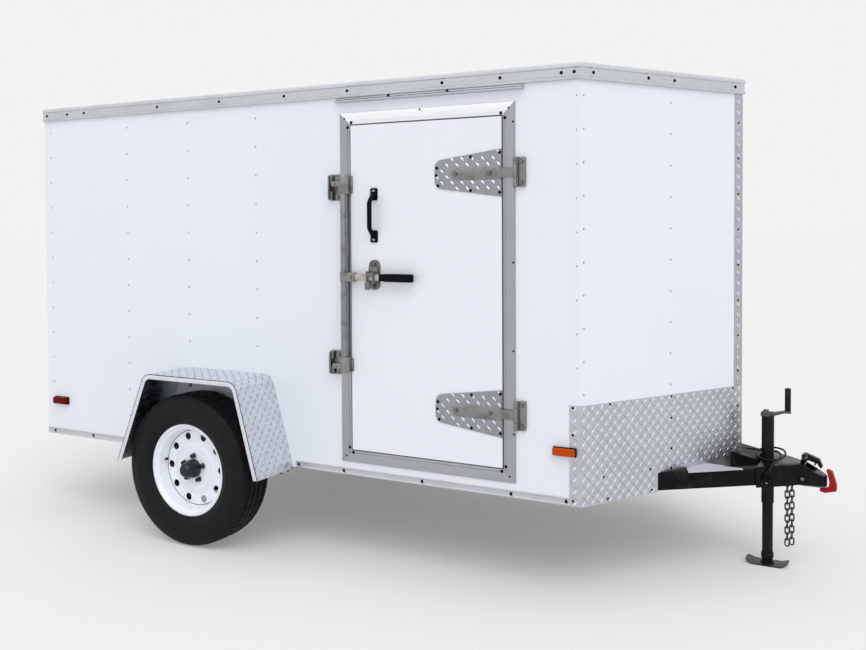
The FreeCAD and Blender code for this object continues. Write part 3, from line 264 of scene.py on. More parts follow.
def make_finishes(colours):
    """Every material, from the colours on the panel."""
    painted_panel("skin_white", colours.body)
    painted_panel("door_white", colours.door)
    wheel_paint_with_painted_shade("rim_white", colours.rim)
    bright_metal("roof_skin", (0.62, 0.63, 0.65), 0.45, (0.2, 1, 1), 90.0, 0.9)
    bright_metal("trim_aluminium", colours.trim, 0.3, (0.04, 1, 1))
    # Copies of the door frame's aluminium: the sill has its own colour, the uprights a darker copy
    # as painted shade and the head a near-white copy as a painted highlight.
    bright_metal("frame_level", colours.door_frame, 0.34, (0.04, 1, 1))
    bright_metal("frame_upright", shade(colours.door_frame, 0.9), 0.34, (1, 1, 0.04))
    bright_metal("frame_head", (0.93, 0.94, 0.96), 0.3, (0.04, 1, 1), stains=0.1)
    bright_metal("tread_plate", colours.tread, 0.36, (1, 1, 1), 30.0)
    # Raised bars in a lighter copy of the tread plate as painted highlight and a darker copy as
    # painted shade, one for each way the bars lean.
    bright_metal("tread_lug", shade(colours.tread, 1.55), 0.2, (1, 1, 1), 60.0, stains=0.15)
    bright_metal("tread_dull", shade(colours.tread, 0.78), 0.3, (1, 1, 1), 60.0, stains=0.15)
    bright_metal("strip_plate", shade(colours.tread, 0.86), 0.3, (1, 1, 1), 30.0)
    bright_metal("backer_plate", shade(colours.tread, 0.62), 0.3, (1, 1, 1), 30.0)
    bright_metal("fender_plate", shade(colours.tread, 1.32), 0.3, (1, 1, 1), 30.0, stains=0.15)
    # The fender's bars in a lighter copy of its plate as painted highlight and a darker copy as
    # painted shade, one for each way the bars lean.
    bright_metal("fender_lug", shade(colours.tread, 1.45), 0.25, (1, 1, 1), 60.0, stains=0.1)
    bright_metal("fender_bar", shade(colours.tread, 0.72), 0.3, (1, 1, 1), 60.0, stains=0.15)
    enamel("frame_black", shade(colours.black, 0.7), (0.035, 0.033, 0.031), 0.34, 0.1)
    enamel("coupler_black", shade(colours.black, 0.6), (0.03, 0.03, 0.032), 0.16, 0.12)
    enamel("jack_black", shade(colours.black, 1.1), (0.03, 0.027, 0.026), 0.28)
    # Dark grey of the crank arm, also used as a painted highlight along the coupler's lower flange.
    enamel("crank_grey", (0.085, 0.088, 0.093), (0.2, 0.2, 0.205), 0.3, 0.3)
    enamel("foot_grey", (0.022, 0.0225, 0.024), (0.085, 0.085, 0.09), 0.3, 0.2)
    # Grey for painted lines: a shadow round the white disc's edge and highlights on the black hub
    # cap's steps.
    enamel("rim_shadow", (0.06, 0.062, 0.066), (0.16, 0.16, 0.16), 0.5)
    spangled("galvanised", shade(colours.zinc, 0.78), (0.12, 0.115, 0.10), 0.32)
    spangled("zinc_steel", shade(colours.zinc, 0.85), (0.085, 0.06, 0.04), 0.34, 330.0)
    spangled("keeper_zinc", shade(colours.zinc, 0.6), (0.05, 0.043, 0.033), 0.38, 330.0)
    spangled("arm_zinc", (0.50, 0.47, 0.41), (0.30, 0.25, 0.19), 0.34, 300.0)
    spangled("chain_steel", (0.10, 0.075, 0.058), (0.03, 0.016, 0.009), 0.5, 420.0)
    moulded("black_plastic", (0.004, 0.0045, 0.006), 0.4, 0.05)
    moulded("screw_black", (0.006, 0.006, 0.007), 0.4, 0.08)
    moulded("rivet_grey", (0.34, 0.35, 0.37), 0.4, 0.4)
    moulded("tyre", colours.rubber, 0.55, 0.12)
    moulded("hub_black", (0.012, 0.012, 0.015), 0.3, 0.35)
    moulded("cable_rubber", (0.008, 0.008, 0.009), 0.45)
    moulded("gasket", (0.09, 0.093, 0.097), 0.7)
    lens("amber_lens", colours.amber, 0.10)
    lens("red_lens", colours.red, 0.05)
    lens("lock_red", (0.36, 0.008, 0.02), 0.15)
    bright_metal("label_silver", (0.62, 0.63, 0.67), 0.45, (1, 1, 1), 60.0, 0.4)
    bright_metal("contact_brass", (0.8, 0.62, 0.34), 0.25, (1, 1, 1))
    bright_metal("bare_steel", (0.45, 0.46, 0.48), 0.3, (1, 1, 1), 60.0)
    plywood()


def plywood():
    """Rotary-cut plywood: long pale grain with darker streaks, and undercoat below."""
    g = Graph("floor_wood", roughness=0.7)
    grain = g.noise(26.0, 6.0, (0.12, 1.6, 1))
    wood = g.blend(g.spread(grain, 0.32, 0.7), (0.5, 0.34, 0.19), (0.3, 0.18, 0.09))
    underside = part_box("floor_deck")[0].z
    g.set("Base Color", g.blend(g.spread(g.height(), underside + 0.001, underside + 0.002),
                                (0.02, 0.02, 0.02), wood))
    g.bump(grain, 0.2, 0.001)


NODE_FINISH = {
    "main_rails": "frame_black", "nose_rails": "frame_black", "crossmembers": "frame_black",
    "floor_deck": "floor_wood", "left_wall": "skin_white", "right_wall": "skin_white",
    "right_nose": "skin_white", "left_nose": "skin_white", "roof": "roof_skin",
    "rear_frame": "skin_white", "side_roof_rails": "trim_aluminium",
    "nose_roof_rails": "trim_aluminium", "skirt_trim": "trim_aluminium",
    "stone_guard": "tread_plate", "nose_strip": "strip_plate",
    "side_door_frame": "frame_upright", "side_door": "door_white",
    "drip_cap": "trim_aluminium", "side_hinge_backers": "tread_plate",
    "side_hinge_straps": "galvanised", "side_hinge_butts": "galvanised",
    "grab_handle": "black_plastic", "side_bar_lock": "zinc_steel",
    "side_bar_handle": "zinc_steel", "side_bar_keepers": "keeper_zinc",
    "side_bar_guides": "zinc_steel", "right_rear_door": "door_white",
    "left_rear_door": "door_white", "right_rear_straps": "galvanised",
    "left_rear_straps": "galvanised", "rear_hinge_butts": "galvanised",
    "rear_bar_lock": "zinc_steel", "rear_bar_keepers": "galvanised",
    "tail_lamps": "red_lens", "licence_bracket": "black_plastic",
    "amber_marker_lamps": "amber_lens", "red_marker_lamps": "red_lens",
    "right_fender": "fender_plate", "left_fender": "fender_plate", "right_tyre": "tyre",
    "right_rim": "rim_white", "right_hub": "hub_black", "left_tyre": "tyre",
    "left_rim": "rim_white", "left_hub": "hub_black", "axle_beam": "frame_black",
    "leaf_springs": "frame_black", "spring_hangers": "frame_black",
    "tongue_rails": "frame_black", "tongue_plates": "frame_black",
    "coupler": "frame_black", "coupler_latch": "frame_black", "coupler_lock": "lock_red",
    "safety_chains": "chain_steel", "jack_tube": "jack_black", "jack_crank": "jack_black",
    "jack_leg": "jack_black", "wiring_cable": "cable_rubber", "wiring_plug": "black_plastic",
}


# ---------------------------------------------------------------- mesh helpers

def piece(bm, name, body, finish, replaces=(), smooth=32):
    """Turn a finished bmesh into a piece that rides on a body."""
    mesh = bpy.data.meshes.new(name)
    bm.to_mesh(mesh)
    bm.free()
    obj = bpy.data.objects.new(name, mesh)
    bpy.context.scene.collection.objects.link(obj)
    mesh.materials.append(FINISH[finish])
    mesh.polygons.foreach_set("use_smooth", [True] * len(mesh.polygons))
    mesh.set_sharp_from_angle(angle=math.radians(smooth))
    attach(obj, body)
    if replaces:
        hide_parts(*replaces)
    return obj


def facing(place, out, along=UP):
    """Matrix that stands a small part on a surface: Z along out, Y as near along as can be."""
    z = Vector(out).normalized()
    x = Vector(along).cross(z).normalized()
    y = z.cross(x)
    matrix = Matrix((x, y, z)).transposed().to_4x4()
    matrix.translation = place
    return matrix


def stamp(bm, part, matrix):
    """Put a copy of a small part into a mesh."""
    copy = part.copy()
    copy.transform(matrix)
    bm.from_mesh(copy)
    bpy.data.meshes.remove(copy)


def small_part(name, build):
    """A small part kept as a mesh, to be stamped many times."""
    bm = bmesh.new()
    build(bm)
    mesh = bpy.data.meshes.new(name)
    bm.to_mesh(mesh)
    bm.free()
    return mesh


def cone(bm, segments, low_radius, high_radius, low, high):
    """Round or many-sided stub on the Z axis, between two heights."""
    made = bmesh.ops.create_cone(bm, cap_ends=True, segments=segments, radius1=low_radius,
                                 radius2=high_radius, depth=high - low)
    bmesh.ops.translate(bm, vec=(0, 0, (low + high) / 2), verts=made["verts"])
    return made["verts"]


def block(bm, low, high, ease=0.0, segments=2):
    """Box between two corners, with its edges eased."""
    low, high = Vector(low), Vector(high)
    verts = bmesh.ops.create_cube(bm, size=1.0)["verts"]
    bmesh.ops.scale(bm, vec=high - low, verts=verts)
    bmesh.ops.translate(bm, vec=(low + high) / 2, verts=verts)
    if ease:
        edges = list({e for v in verts for e in v.link_edges})
        bmesh.ops.bevel(bm, geom=edges, offset=ease, segments=segments, affect="EDGES",
                        profile=0.5, material=-1)


def prism(bm, points, along):
    """Flat outline swept along a vector."""
    face = bm.faces.new([bm.verts.new(p) for p in points])
    made = bmesh.ops.extrude_face_region(bm, geom=[face])
    verts = [g for g in made["geom"] if isinstance(g, bmesh.types.BMVert)]
    bmesh.ops.translate(bm, vec=along, verts=verts)
    return face


def mirrored(bm):
    """Add the same shapes on the other side of the trailer."""
    made = bmesh.ops.duplicate(bm, geom=bm.verts[:] + bm.edges[:] + bm.faces[:])
    verts = [g for g in made["geom"] if isinstance(g, bmesh.types.BMVert)]
    bmesh.ops.scale(bm, vec=(1, -1, 1), verts=verts)
    faces = [g for g in made["geom"] if isinstance(g, bmesh.types.BMFace)]
    bmesh.ops.reverse_faces(bm, faces=faces)


def outward(bm):
    """Turn every face outwards."""
    bmesh.ops.recalc_face_normals(bm, faces=bm.faces)


def run(bm, outline, start, end, out, up, start_cut=None, end_cut=None):
    """Sweep an outline of (out, up) pairs between two points, cut at its ends on mitre planes."""
    part = bmesh.new()
    along = (end - start).normalized()
    spare = 0.08
    first = start - along * (spare if start_cut else 0.0)
    last = end + along * (spare if end_cut else 0.0)
    prism(part, [first + out * a + up * b for a, b in outline], last - first)
    for point, cut in ((start, start_cut), (end, end_cut)):
        if cut is not None:
            made = bmesh.ops.bisect_plane(part, geom=part.verts[:] + part.edges[:] + part.faces[:],
                                          plane_co=point, plane_no=cut, clear_outer=True)
            rim = [g for g in made["geom_cut"] if isinstance(g, bmesh.types.BMEdge)]
            bmesh.ops.contextual_create(part, geom=rim)
    outward(part)
    join(bm, part)


def join(bm, part, matrix=None):
    """Put a finished bmesh into another one, and free it."""
    mesh = bpy.data.meshes.new("part")
    part.to_mesh(mesh)
    part.free()
    if matrix is not None:
        mesh.transform(matrix)
    bm.from_mesh(mesh)
    bpy.data.meshes.remove(mesh)


def plate(bm, place, width, height, thick, corner, ease=0.0008, steps=6):
    """Plate with round corners: its back on the place, X its width, Y its height, Z outwards."""
    part = bmesh.new()
    rim = []
    quarters = ((1, 1), (-1, 1), (-1, -1), (1, -1))
    for quarter, (right, above) in enumerate(quarters):
        for step in range(steps + 1):
            turn = math.pi / 2 * (quarter + step / steps)
            rim.append(Vector(((width / 2 - corner) * right + corner * math.cos(turn),
                               (height / 2 - corner) * above + corner * math.sin(turn), 0)))
    prism(part, rim, Vector((0, 0, thick)))
    edges = [e for e in part.edges if all(v.co.z > thick / 2 for v in e.verts)]
    bmesh.ops.bevel(part, geom=edges, offset=ease, segments=2, affect="EDGES", profile=0.5,
                    material=-1)
    outward(part)
    join(bm, part, place)


def barrel(bm, start, end, radius, segments=20, ease=0.0008):
    """Round bar between two points, with eased ends."""
    part = bmesh.new()
    cone(part, segments, radius, radius, 0.0, (end - start).length)
    edges = [e for e in part.edges if abs(e.verts[0].co.z - e.verts[1].co.z) < 1e-6]
    bmesh.ops.bevel(part, geom=edges, offset=ease, segments=2, affect="EDGES", profile=0.5,
                    material=-1)
    side = AHEAD if abs((end - start).normalized().x) < 0.9 else UP
    join(bm, part, facing(start, end - start, side))


def merged_copy(node):
    """A CAD node's own shape as a clean bmesh."""
    bm = bmesh.new()
    bm.from_mesh(NODES[node].data)
    bmesh.ops.remove_doubles(bm, verts=bm.verts, dist=2e-5)
    bmesh.ops.dissolve_limit(bm, angle_limit=math.radians(1.0), verts=bm.verts, edges=bm.edges)
    return bm


def eased(node, finish, body="trailer", width=0.002, segments=2, angle=28):
    """The CAD node's shape with its sharp edges eased, standing for that node."""
    bm = merged_copy(node)
    edges = [e for e in bm.edges
             if e.is_manifold and e.calc_face_angle(0.0) > math.radians(angle)]
    bmesh.ops.bevel(bm, geom=edges, offset=width, segments=segments, affect="EDGES",
                    profile=0.5, material=-1, clamp_overlap=True)
    outward(bm)
    return piece(bm, node + "_eased", body, finish, replaces=(node,))


def rivet(bm):
    """Low domed rivet head."""
    sizes = bpy.context.scene.trailer_sizes
    r = sizes.rivet_radius
    cone(bm, 10, r, r * 0.62, 0.0, r * 0.42)


def screw(bm):
    """Hex washer-head screw."""
    r = bpy.context.scene.trailer_sizes.screw_radius
    cone(bm, 12, r, r * 0.86, 0.0, 0.0012)
    cone(bm, 6, r * 0.62, r * 0.52, 0.0008, 0.0046)


def hex_bolt(bm):
    """Hex bolt head on a washer."""
    cone(bm, 16, 0.011, 0.0105, 0.0, 0.0016)
    cone(bm, 6, 0.0078, 0.0072, 0.0016, 0.0068)


def tread_lug(bm):
    """One raised bar of tread plate, pointed at both ends."""
    sizes = bpy.context.scene.trailer_sizes
    verts = cone(bm, 8, 1.0, 0.35, 0.0, 1.0)
    bmesh.ops.scale(bm, vec=(sizes.lug_width / 2, sizes.lug_length / 2, sizes.lug_height),
                    verts=verts)


def tread(rising, falling, lug, origin, along, up, out, width, height, keep=None):
    """Cover a flat strip with raised bars, those that rise and those that fall in turn."""
    pitch = bpy.context.scene.trailer_sizes.lug_pitch
    columns = max(1, int(width / pitch))
    rows = max(1, int(height / pitch))
    for i in range(columns):
        for j in range(rows):
            u = (i + 0.5) * width / columns
            v = (j + 0.5) * height / rows
            if keep is not None and not keep(u, v):
                continue
            bm, turn = (rising, 1) if (i + j) % 2 == 0 else (falling, -1)
            stamp(bm, lug, facing(origin + along * u + up * v, out, up + along * turn))


def hoop(bm, radius, thick, steps=48):
    """Ring of round wire about Z."""
    made = bmesh.ops.create_circle(bm, cap_ends=False, segments=8, radius=thick)
    bmesh.ops.rotate(bm, cent=(0, 0, 0), verts=made["verts"],
                     matrix=Matrix.Rotation(math.pi / 2, 3, "X"))
    bmesh.ops.translate(bm, vec=(radius, 0, 0), verts=made["verts"])
    bmesh.ops.spin(bm, geom=bm.verts[:] + bm.edges[:], cent=(0, 0, 0), axis=(0, 0, 1),
                   angle=2 * math.pi, steps=steps, use_merge=True)
    bmesh.ops.remove_doubles(bm, verts=bm.verts, dist=1e-5)
    outward(bm)


def ring(bm, place, out, radius, thick, steps=48):
    """Put a ring of round wire into a mesh, standing square to a direction."""
    part = bmesh.new()
    hoop(part, radius, thick, steps)
    join(bm, part, facing(place, out))


# ---------------------------------------------------------------- settings on the panel

def length(name, description, default, largest=10.0):
    """A size in metres for the panel."""
    return bpy.props.FloatProperty(name=name, description=description, default=default,
                                   min=0.0, max=largest, precision=4, unit="LENGTH")


def colour(name, description, default):
    """A colour for the panel."""
    return bpy.props.FloatVectorProperty(name=name, description=description, default=default,
                                         size=3, min=0.0, max=1.0, subtype="COLOR")


class TrailerSizes(bpy.types.PropertyGroup):
    """Sizes of the fixings and patterns that repeat over the trailer."""

    rivet_radius: length("Rivet radius", "Radius of the panel rivet heads", 0.0048)
    rivet_pitch: length("Rivet pitch", "Distance between rivets up a post", 0.13)
    screw_radius: length("Screw radius", "Radius of the trim screws' washer heads", 0.0072)
    lug_length: length("Lug length", "Length of one raised bar of tread plate", 0.022)
    lug_width: length("Lug width", "Width of one raised bar of tread plate", 0.0064)
    lug_height: length("Lug height", "Height of one raised bar of tread plate", 0.0013)
    lug_pitch: length("Lug pitch", "Distance from one raised bar to the next", 0.0225)
    fender_lip: length("Fender lip", "Width of the lip turned in round a fender's edge", 0.022)
    cable_diameter: length("Cable diameter", "Diameter of the wiring lead", 0.008)
    seam_width: length("Seam width", "Width of the nose skin's wrap onto the sides", 0.038)


class TrailerColours(bpy.types.PropertyGroup):
    """Colours of the trailer's finishes."""

    body: colour("Body", "White of the side and nose panels", (0.80, 0.845, 0.90))
    door: colour("Doors", "White of the doors", (0.82, 0.86, 0.91))
    trim: colour("Trim", "Extruded aluminium of the roof rails and skirt", (0.62, 0.64, 0.67))
    door_frame: colour("Door frame", "Satin aluminium of the side door's frame", (0.47, 0.48, 0.50))
    tread: colour("Tread plate", "Aluminium tread plate", (0.58, 0.60, 0.64))
    zinc: colour("Zinc", "Zinc-coated hinges and locks", (0.33, 0.335, 0.33))
    black: colour("Frame", "Black enamel of the frame and tongue", (0.006, 0.0065, 0.008))
    amber: colour("Amber lamps", "Front marker lamps", (0.55, 0.07, 0.001))
    red: colour("Red lamps", "Rear marker and tail lamps", (0.16, 0.003, 0.003))
    rubber: colour("Tyre", "Tyre rubber", (0.008, 0.0085, 0.010))
    rim: colour("Wheel", "White of the steel wheels", (0.88, 0.92, 0.98))


class TrailerStage(bpy.types.PropertyGroup):
    """Camera, light and background."""

    camera_place: bpy.props.FloatVectorProperty(
        name="Camera place", description="Where the camera stands", size=3,
        default=(2.3449, -4.2662, 1.448), subtype="XYZ", unit="LENGTH")
    yaw: bpy.props.FloatProperty(name="Yaw", description="Camera turned left of the Y axis",
                                 default=math.radians(28.523), subtype="ANGLE")
    pitch: bpy.props.FloatProperty(name="Pitch", description="Camera tilted down",
                                   default=math.radians(1.531), subtype="ANGLE")
    roll: bpy.props.FloatProperty(name="Roll", description="Camera turned about its own line",
                                  default=math.radians(-0.285), subtype="ANGLE")
    lens: bpy.props.FloatProperty(name="Lens", description="Focal length in millimetres",
                                  default=40.144, min=1.0)
    shift: bpy.props.FloatProperty(name="Shift", description="Vertical lens shift",
                                   default=-0.0853)
    background: bpy.props.FloatProperty(name="Background", default=0.896, min=0.0, max=1.0,
                                        description="Brightness of the plain background")
    floor_white: bpy.props.FloatProperty(name="Floor", default=0.866, min=0.0, max=1.0,
                                         description="Whiteness of the floor")
    floor_glow: bpy.props.FloatProperty(name="Floor glow", default=0.24, min=0.0, max=1.0,
                                        description="How far the floor's shadow is lifted")
    overhead: bpy.props.FloatProperty(name="Overhead", default=0.45, min=0.0,
                                      description="Extra brightness overhead in reflections")
    sky: bpy.props.FloatProperty(name="Sky", description="Strength of the all-round light",
                                 default=0.82, min=0.0)
    sun: bpy.props.FloatProperty(name="Sun", description="Strength of the soft main light",
                                 default=0.85, min=0.0)
    sun_spread: bpy.props.FloatProperty(name="Sun spread", default=math.radians(40), min=0.0,
                                        description="How wide the main light is", subtype="ANGLE")
    sun_place: bpy.props.FloatVectorProperty(
        name="Sun place", description="Direction that the main light comes from", size=3,
        default=(0.5, -0.62, 1.0), subtype="XYZ")


# ---------------------------------------------------------------- stage

class TRAILER_OT_stage(bpy.types.Operator):
    """Add the floor, the light and the camera"""

    bl_idname = "trailer.add_stage"
    bl_label = "Stage"

    def execute(self, context):
        stage = context.scene.trailer_stage
        context.scene.view_settings.view_transform = "Standard"
        self.add_world(context, stage)
        self.add_floor(context, stage)
        self.add_sun(context, stage)
        self.add_camera(context, stage)
        return {"FINISHED"}

    def seen_plainly(self, tree):
        """Value that is 1 for camera, glossy and transmission rays."""
        path = tree.nodes.new("ShaderNodeLightPath")
        value = path.outputs["Is Camera Ray"]
        for name in ("Is Glossy Ray", "Is Transmission Ray"):
            add = tree.nodes.new("ShaderNodeMath")
            add.operation = "MAXIMUM"
            tree.links.new(value, add.inputs[0])
            tree.links.new(path.outputs[name], add.inputs[1])
            value = add.outputs["Value"]
        return value

    def add_world(self, context, stage):
        """All-round light, and the plain background that the camera and reflections see."""
        world = bpy.data.worlds.new("studio")
        context.scene.world = world
        world.use_nodes = True
        tree = world.node_tree
        tree.nodes.clear()
        output = tree.nodes.new("ShaderNodeOutputWorld")
        mix = tree.nodes.new("ShaderNodeMixShader")
        light = tree.nodes.new("ShaderNodeBackground")
        light.inputs["Strength"].default_value = stage.sky
        light.inputs["Color"].default_value = (1, 1, 1, 1)
        seen = tree.nodes.new("ShaderNodeBackground")
        seen.inputs["Color"].default_value = (*[stage.background] * 3, 1)
        tree.links.new(self.seen_plainly(tree), mix.inputs["Fac"])
        tree.links.new(self.overhead(tree, stage.overhead), seen.inputs["Strength"])
        tree.links.new(light.outputs["Background"], mix.inputs[1])
        tree.links.new(seen.outputs["Background"], mix.inputs[2])
        tree.links.new(mix.outputs["Shader"], output.inputs["Surface"])

    def overhead(self, tree, strength):
        """Brightness that rises overhead, where only reflections see it."""
        split = tree.nodes.new("ShaderNodeSeparateXYZ")
        coordinates = tree.nodes.new("ShaderNodeTexCoord")
        tree.links.new(coordinates.outputs["Generated"], split.inputs["Vector"])
        above = tree.nodes.new("ShaderNodeMapRange")
        above.inputs["From Min"].default_value = 0.05
        above.inputs["From Max"].default_value = 0.7
        above.inputs["To Min"].default_value = 0.0
        above.inputs["To Max"].default_value = strength
        tree.links.new(split.outputs["Z"], above.inputs["Value"])
        path = tree.nodes.new("ShaderNodeLightPath")
        total = tree.nodes.new("ShaderNodeMath")
        total.operation = "MULTIPLY_ADD"
        total.inputs[2].default_value = 1.0
        tree.links.new(path.outputs["Is Glossy Ray"], total.inputs[0])
        tree.links.new(above.outputs["Result"], total.inputs[1])
        return total.outputs["Value"]

    def add_floor(self, context, stage):
        """Plain floor that runs into the background."""
        bm = bmesh.new()
        bmesh.ops.create_grid(bm, x_segments=1, y_segments=1, size=300.0)
        mesh = bpy.data.meshes.new("floor")
        bm.to_mesh(mesh)
        bm.free()
        floor = bpy.data.objects.new("floor", mesh)
        context.scene.collection.objects.link(floor)
        material = bpy.data.materials.new("studio_floor")
        material.use_nodes = True
        tree = material.node_tree
        tree.nodes.clear()
        output = tree.nodes.new("ShaderNodeOutputMaterial")
        plain = tree.nodes.new("ShaderNodeBsdfDiffuse")
        plain.inputs["Color"].default_value = (*[stage.floor_white] * 3, 1)
        glow = tree.nodes.new("ShaderNodeEmission")
        glow.inputs["Color"].default_value = (*[stage.background] * 3, 1)
        share = tree.nodes.new("ShaderNodeMath")
        share.operation = "MULTIPLY"
        share.inputs[1].default_value = stage.floor_glow
        mix = tree.nodes.new("ShaderNodeMixShader")
        tree.links.new(self.seen_plainly(tree), share.inputs[0])
        tree.links.new(share.outputs["Value"], mix.inputs["Fac"])
        tree.links.new(plain.outputs["BSDF"], mix.inputs[1])
        tree.links.new(glow.outputs["Emission"], mix.inputs[2])
        tree.links.new(mix.outputs["Shader"], output.inputs["Surface"])
        mesh.materials.append(material)

    def add_sun(self, context, stage):
        """Soft light from high on the right and ahead."""
        light = bpy.data.lights.new("main_sun", "SUN")
        light.energy = stage.sun
        light.angle = stage.sun_spread
        sun = bpy.data.objects.new("main_sun", light)
        context.scene.collection.objects.link(sun)
        sun.rotation_euler = Vector(stage.sun_place).to_track_quat("Z", "Y").to_euler()

    def add_camera(self, context, stage):
        """Camera aimed by its yaw, pitch and roll."""
        yaw, pitch, roll = stage.yaw, stage.pitch, stage.roll
        ahead = Vector((-math.sin(yaw) * math.cos(pitch), math.cos(yaw) * math.cos(pitch),
                        -math.sin(pitch)))
        right = Vector((math.cos(yaw), math.sin(yaw), 0))
        above = right.cross(ahead)
        turned_right = right * math.cos(roll) + above * math.sin(roll)
        turned_above = above * math.cos(roll) - right * math.sin(roll)
        data = bpy.data.cameras.new("camera")
        data.lens = stage.lens
        data.sensor_width = 36.0
        data.shift_y = stage.shift
        camera = bpy.data.objects.new("camera", data)
        context.scene.collection.objects.link(camera)
        matrix = Matrix((turned_right, turned_above, -ahead)).transposed().to_4x4()
        matrix.translation = stage.camera_place
        camera.matrix_world = matrix
        context.scene.camera = camera


# ---------------------------------------------------------------- wiring

class TRAILER_OT_wiring(bpy.types.Operator):
    """Add the wiring lead wound round the jack, and its flat connector"""

    bl_idname = "trailer.add_wiring"
    bl_label = "Wiring lead"

    def execute(self, context):
        diameter = context.scene.trailer_sizes.cable_diameter
        route = [
            (0.542, 0.040, 0.424), (0.542, 0.041, 0.446), (0.554, 0.050, 0.468),
            (0.582, 0.049, 0.476), (0.606, 0.030, 0.470), (0.614, -0.002, 0.461),
            (0.602, -0.034, 0.455), (0.572, -0.052, 0.454), (0.538, -0.050, 0.459),
            (0.514, -0.028, 0.466), (0.508, 0.006, 0.473), (0.522, 0.038, 0.479),
            (0.553, 0.057, 0.485), (0.586, 0.053, 0.488), (0.614, 0.036, 0.487),
            (0.630, 0.008, 0.482), (0.632, -0.026, 0.474), (0.622, -0.061, 0.467),
            (0.609, -0.098, 0.463), (0.600, -0.130, 0.460), (0.594, -0.152, 0.444),
            (0.590, -0.160, 0.420),
        ]
        curve = bpy.data.curves.new("wiring_lead", "CURVE")
        curve.dimensions = "3D"
        curve.bevel_depth = diameter / 2
        curve.bevel_resolution = 4
        curve.resolution_u = 12
        curve.use_fill_caps = True
        spline = curve.splines.new("NURBS")
        spline.points.add(len(route) - 1)
        for point, place in zip(spline.points, route):
            point.co = (*spot(*place), 1.0)
        spline.order_u = 3
        spline.use_endpoint_u = True
        lead = bpy.data.objects.new("wiring_lead", curve)
        context.scene.collection.objects.link(lead)
        curve.materials.append(FINISH["cable_rubber"])
        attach(lead, "trailer")
        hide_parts("wiring_cable")
        connector = self.add_connector(spot(*route[-2]), spot(*route[-1]))
        return {"FINISHED"}

    def add_connector(self, before, end):
        """Flat four-way connector: ribbed body with one shrouded and three bare contacts."""
        place = facing(end, end - before, AHEAD)
        bm = bmesh.new()
        block(bm, (-0.006, -0.009, 0.001), (0.006, 0.009, 0.034), 0.002)
        for z in (0.006, 0.011, 0.016):
            block(bm, (-0.0066, -0.0092, z), (0.0066, 0.0092, z + 0.0022), 0.0006, 1)
        cone(bm, 16, 0.0052, 0.0062, -0.004, 0.004)
        shroud = bmesh.new()
        cone(shroud, 12, 0.0030, 0.0028, 0.033, 0.0375)
        join(bm, shroud, Matrix.Translation((0, 0.0058, 0)))
        bmesh.ops.transform(bm, matrix=place, verts=bm.verts)
        body = piece(bm, "wiring_connector", "trailer", "black_plastic", ("wiring_plug",))
        bm = bmesh.new()
        pin = small_part("contact_pin", lambda part: cone(part, 10, 0.0014, 0.0011, 0.0, 0.0038))
        for y in (-0.0062, -0.0022, 0.0018):
            stamp(bm, pin, place @ Matrix.Translation((0, y, 0.034)))
        self.contacts = [piece(bm, "connector_contacts", "trailer", "contact_brass")]
        return body


# ---------------------------------------------------------------- frame finishes

class TRAILER_OT_finishes(bpy.types.Operator):
    """Make the materials and give every frame node its own"""

    bl_idname = "trailer.make_finishes"
    bl_label = "Finishes"

    def execute(self, context):
        make_finishes(context.scene.trailer_colours)
        for node, finish in NODE_FINISH.items():
            mesh = NODES[node].data
            mesh.materials.clear()
            mesh.materials.append(FINISH[finish])
        return {"FINISHED"}


# ---------------------------------------------------------------- body panels

class TRAILER_OT_body_panels(bpy.types.Operator):
    """Add the rivet rows, the nose skin's wrap and the panel joints"""

    bl_idname = "trailer.add_body_panels"
    bl_label = "Body panels"

    def execute(self, context):
        sizes = context.scene.trailer_sizes
        head = small_part("rivet_head", rivet)
        margin = 0.06
        rows = (-2.904, -2.36, -1.963, -1.554, -0.013)
        hidden_rows = (-2.904, -2.36, -1.963, -1.554, -1.15, -0.745, -0.34, -0.013)
        for side, name, places in ((-1, "right_side_rivets", rows),
                                   (1, "left_side_rivets", hidden_rows)):
            bm = bmesh.new()
            for x in places:
                z = RAIL_LOW - margin
                low = GUARD_TOP + 0.05 if x > -0.1 else BODY_LOW + margin
                while z > low:
                    behind_fender = -2.19 < x < -1.33 and z < 0.79
                    behind_lamp = x < -2.8 and 0.5 < z < 0.6
                    if not (behind_fender or behind_lamp):
                        stamp(bm, head, facing(spot(x, side * SKIN_Y, z), LEFT * side))
                    z -= sizes.rivet_pitch
            piece(bm, name, "trailer", "rivet_grey")
        for side, name in ((-1, "right_nose_rivets"), (1, "left_nose_rivets")):
            bm = bmesh.new()
            for distance in (0.018, 0.475):
                z = RAIL_LOW - margin
                while z > GUARD_TOP + 0.03:
                    place, out = nose_spot(distance, z), NOSE_OUT
                    if side > 0:
                        place, out = other_side(place), other_side(out)
                    stamp(bm, head, facing(place, out))
                    z -= sizes.rivet_pitch - 0.003
            piece(bm, name, "trailer", "rivet_grey")
        bm = bmesh.new()
        for side in SIDES:
            y0, y1 = sorted((side * SKIN_Y, side * (SKIN_Y + 0.0012)))
            block(bm, spot(-sizes.seam_width, y0, GUARD_TOP), spot(0.0002, y1, RAIL_LOW), 0.0004, 1)
        piece(bm, "nose_skin_wraps", "trailer", "skin_white")
        self.add_lining(context)
        return {"FINISHED"}

    def add_lining(self, context):
        """Plywood lining inside the walls, between the posts and the floor."""
        low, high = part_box("floor_deck")
        inside = -low.y
        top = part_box("roof")[0].z
        bm = bmesh.new()
        for side in SIDES:
            y0, y1 = sorted((side * (inside - 0.003), side * (inside - 0.0004)))
            stretches = ((low.x + 0.01, CORNER_X - 0.025),)
            if side < 0:
                frame_low, frame_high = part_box("side_door_frame")
                stretches = ((low.x + 0.01, frame_low.x + 0.004),
                             (frame_high.x - 0.004, CORNER_X - 0.025))
            for x0, x1 in stretches:
                block(bm, (x0, y0, high.z + 0.004), (x1, y1, top - 0.35))
        piece(bm, "wall_lining", "trailer", "floor_wood")


# ---------------------------------------------------------------- roof and skirt trim

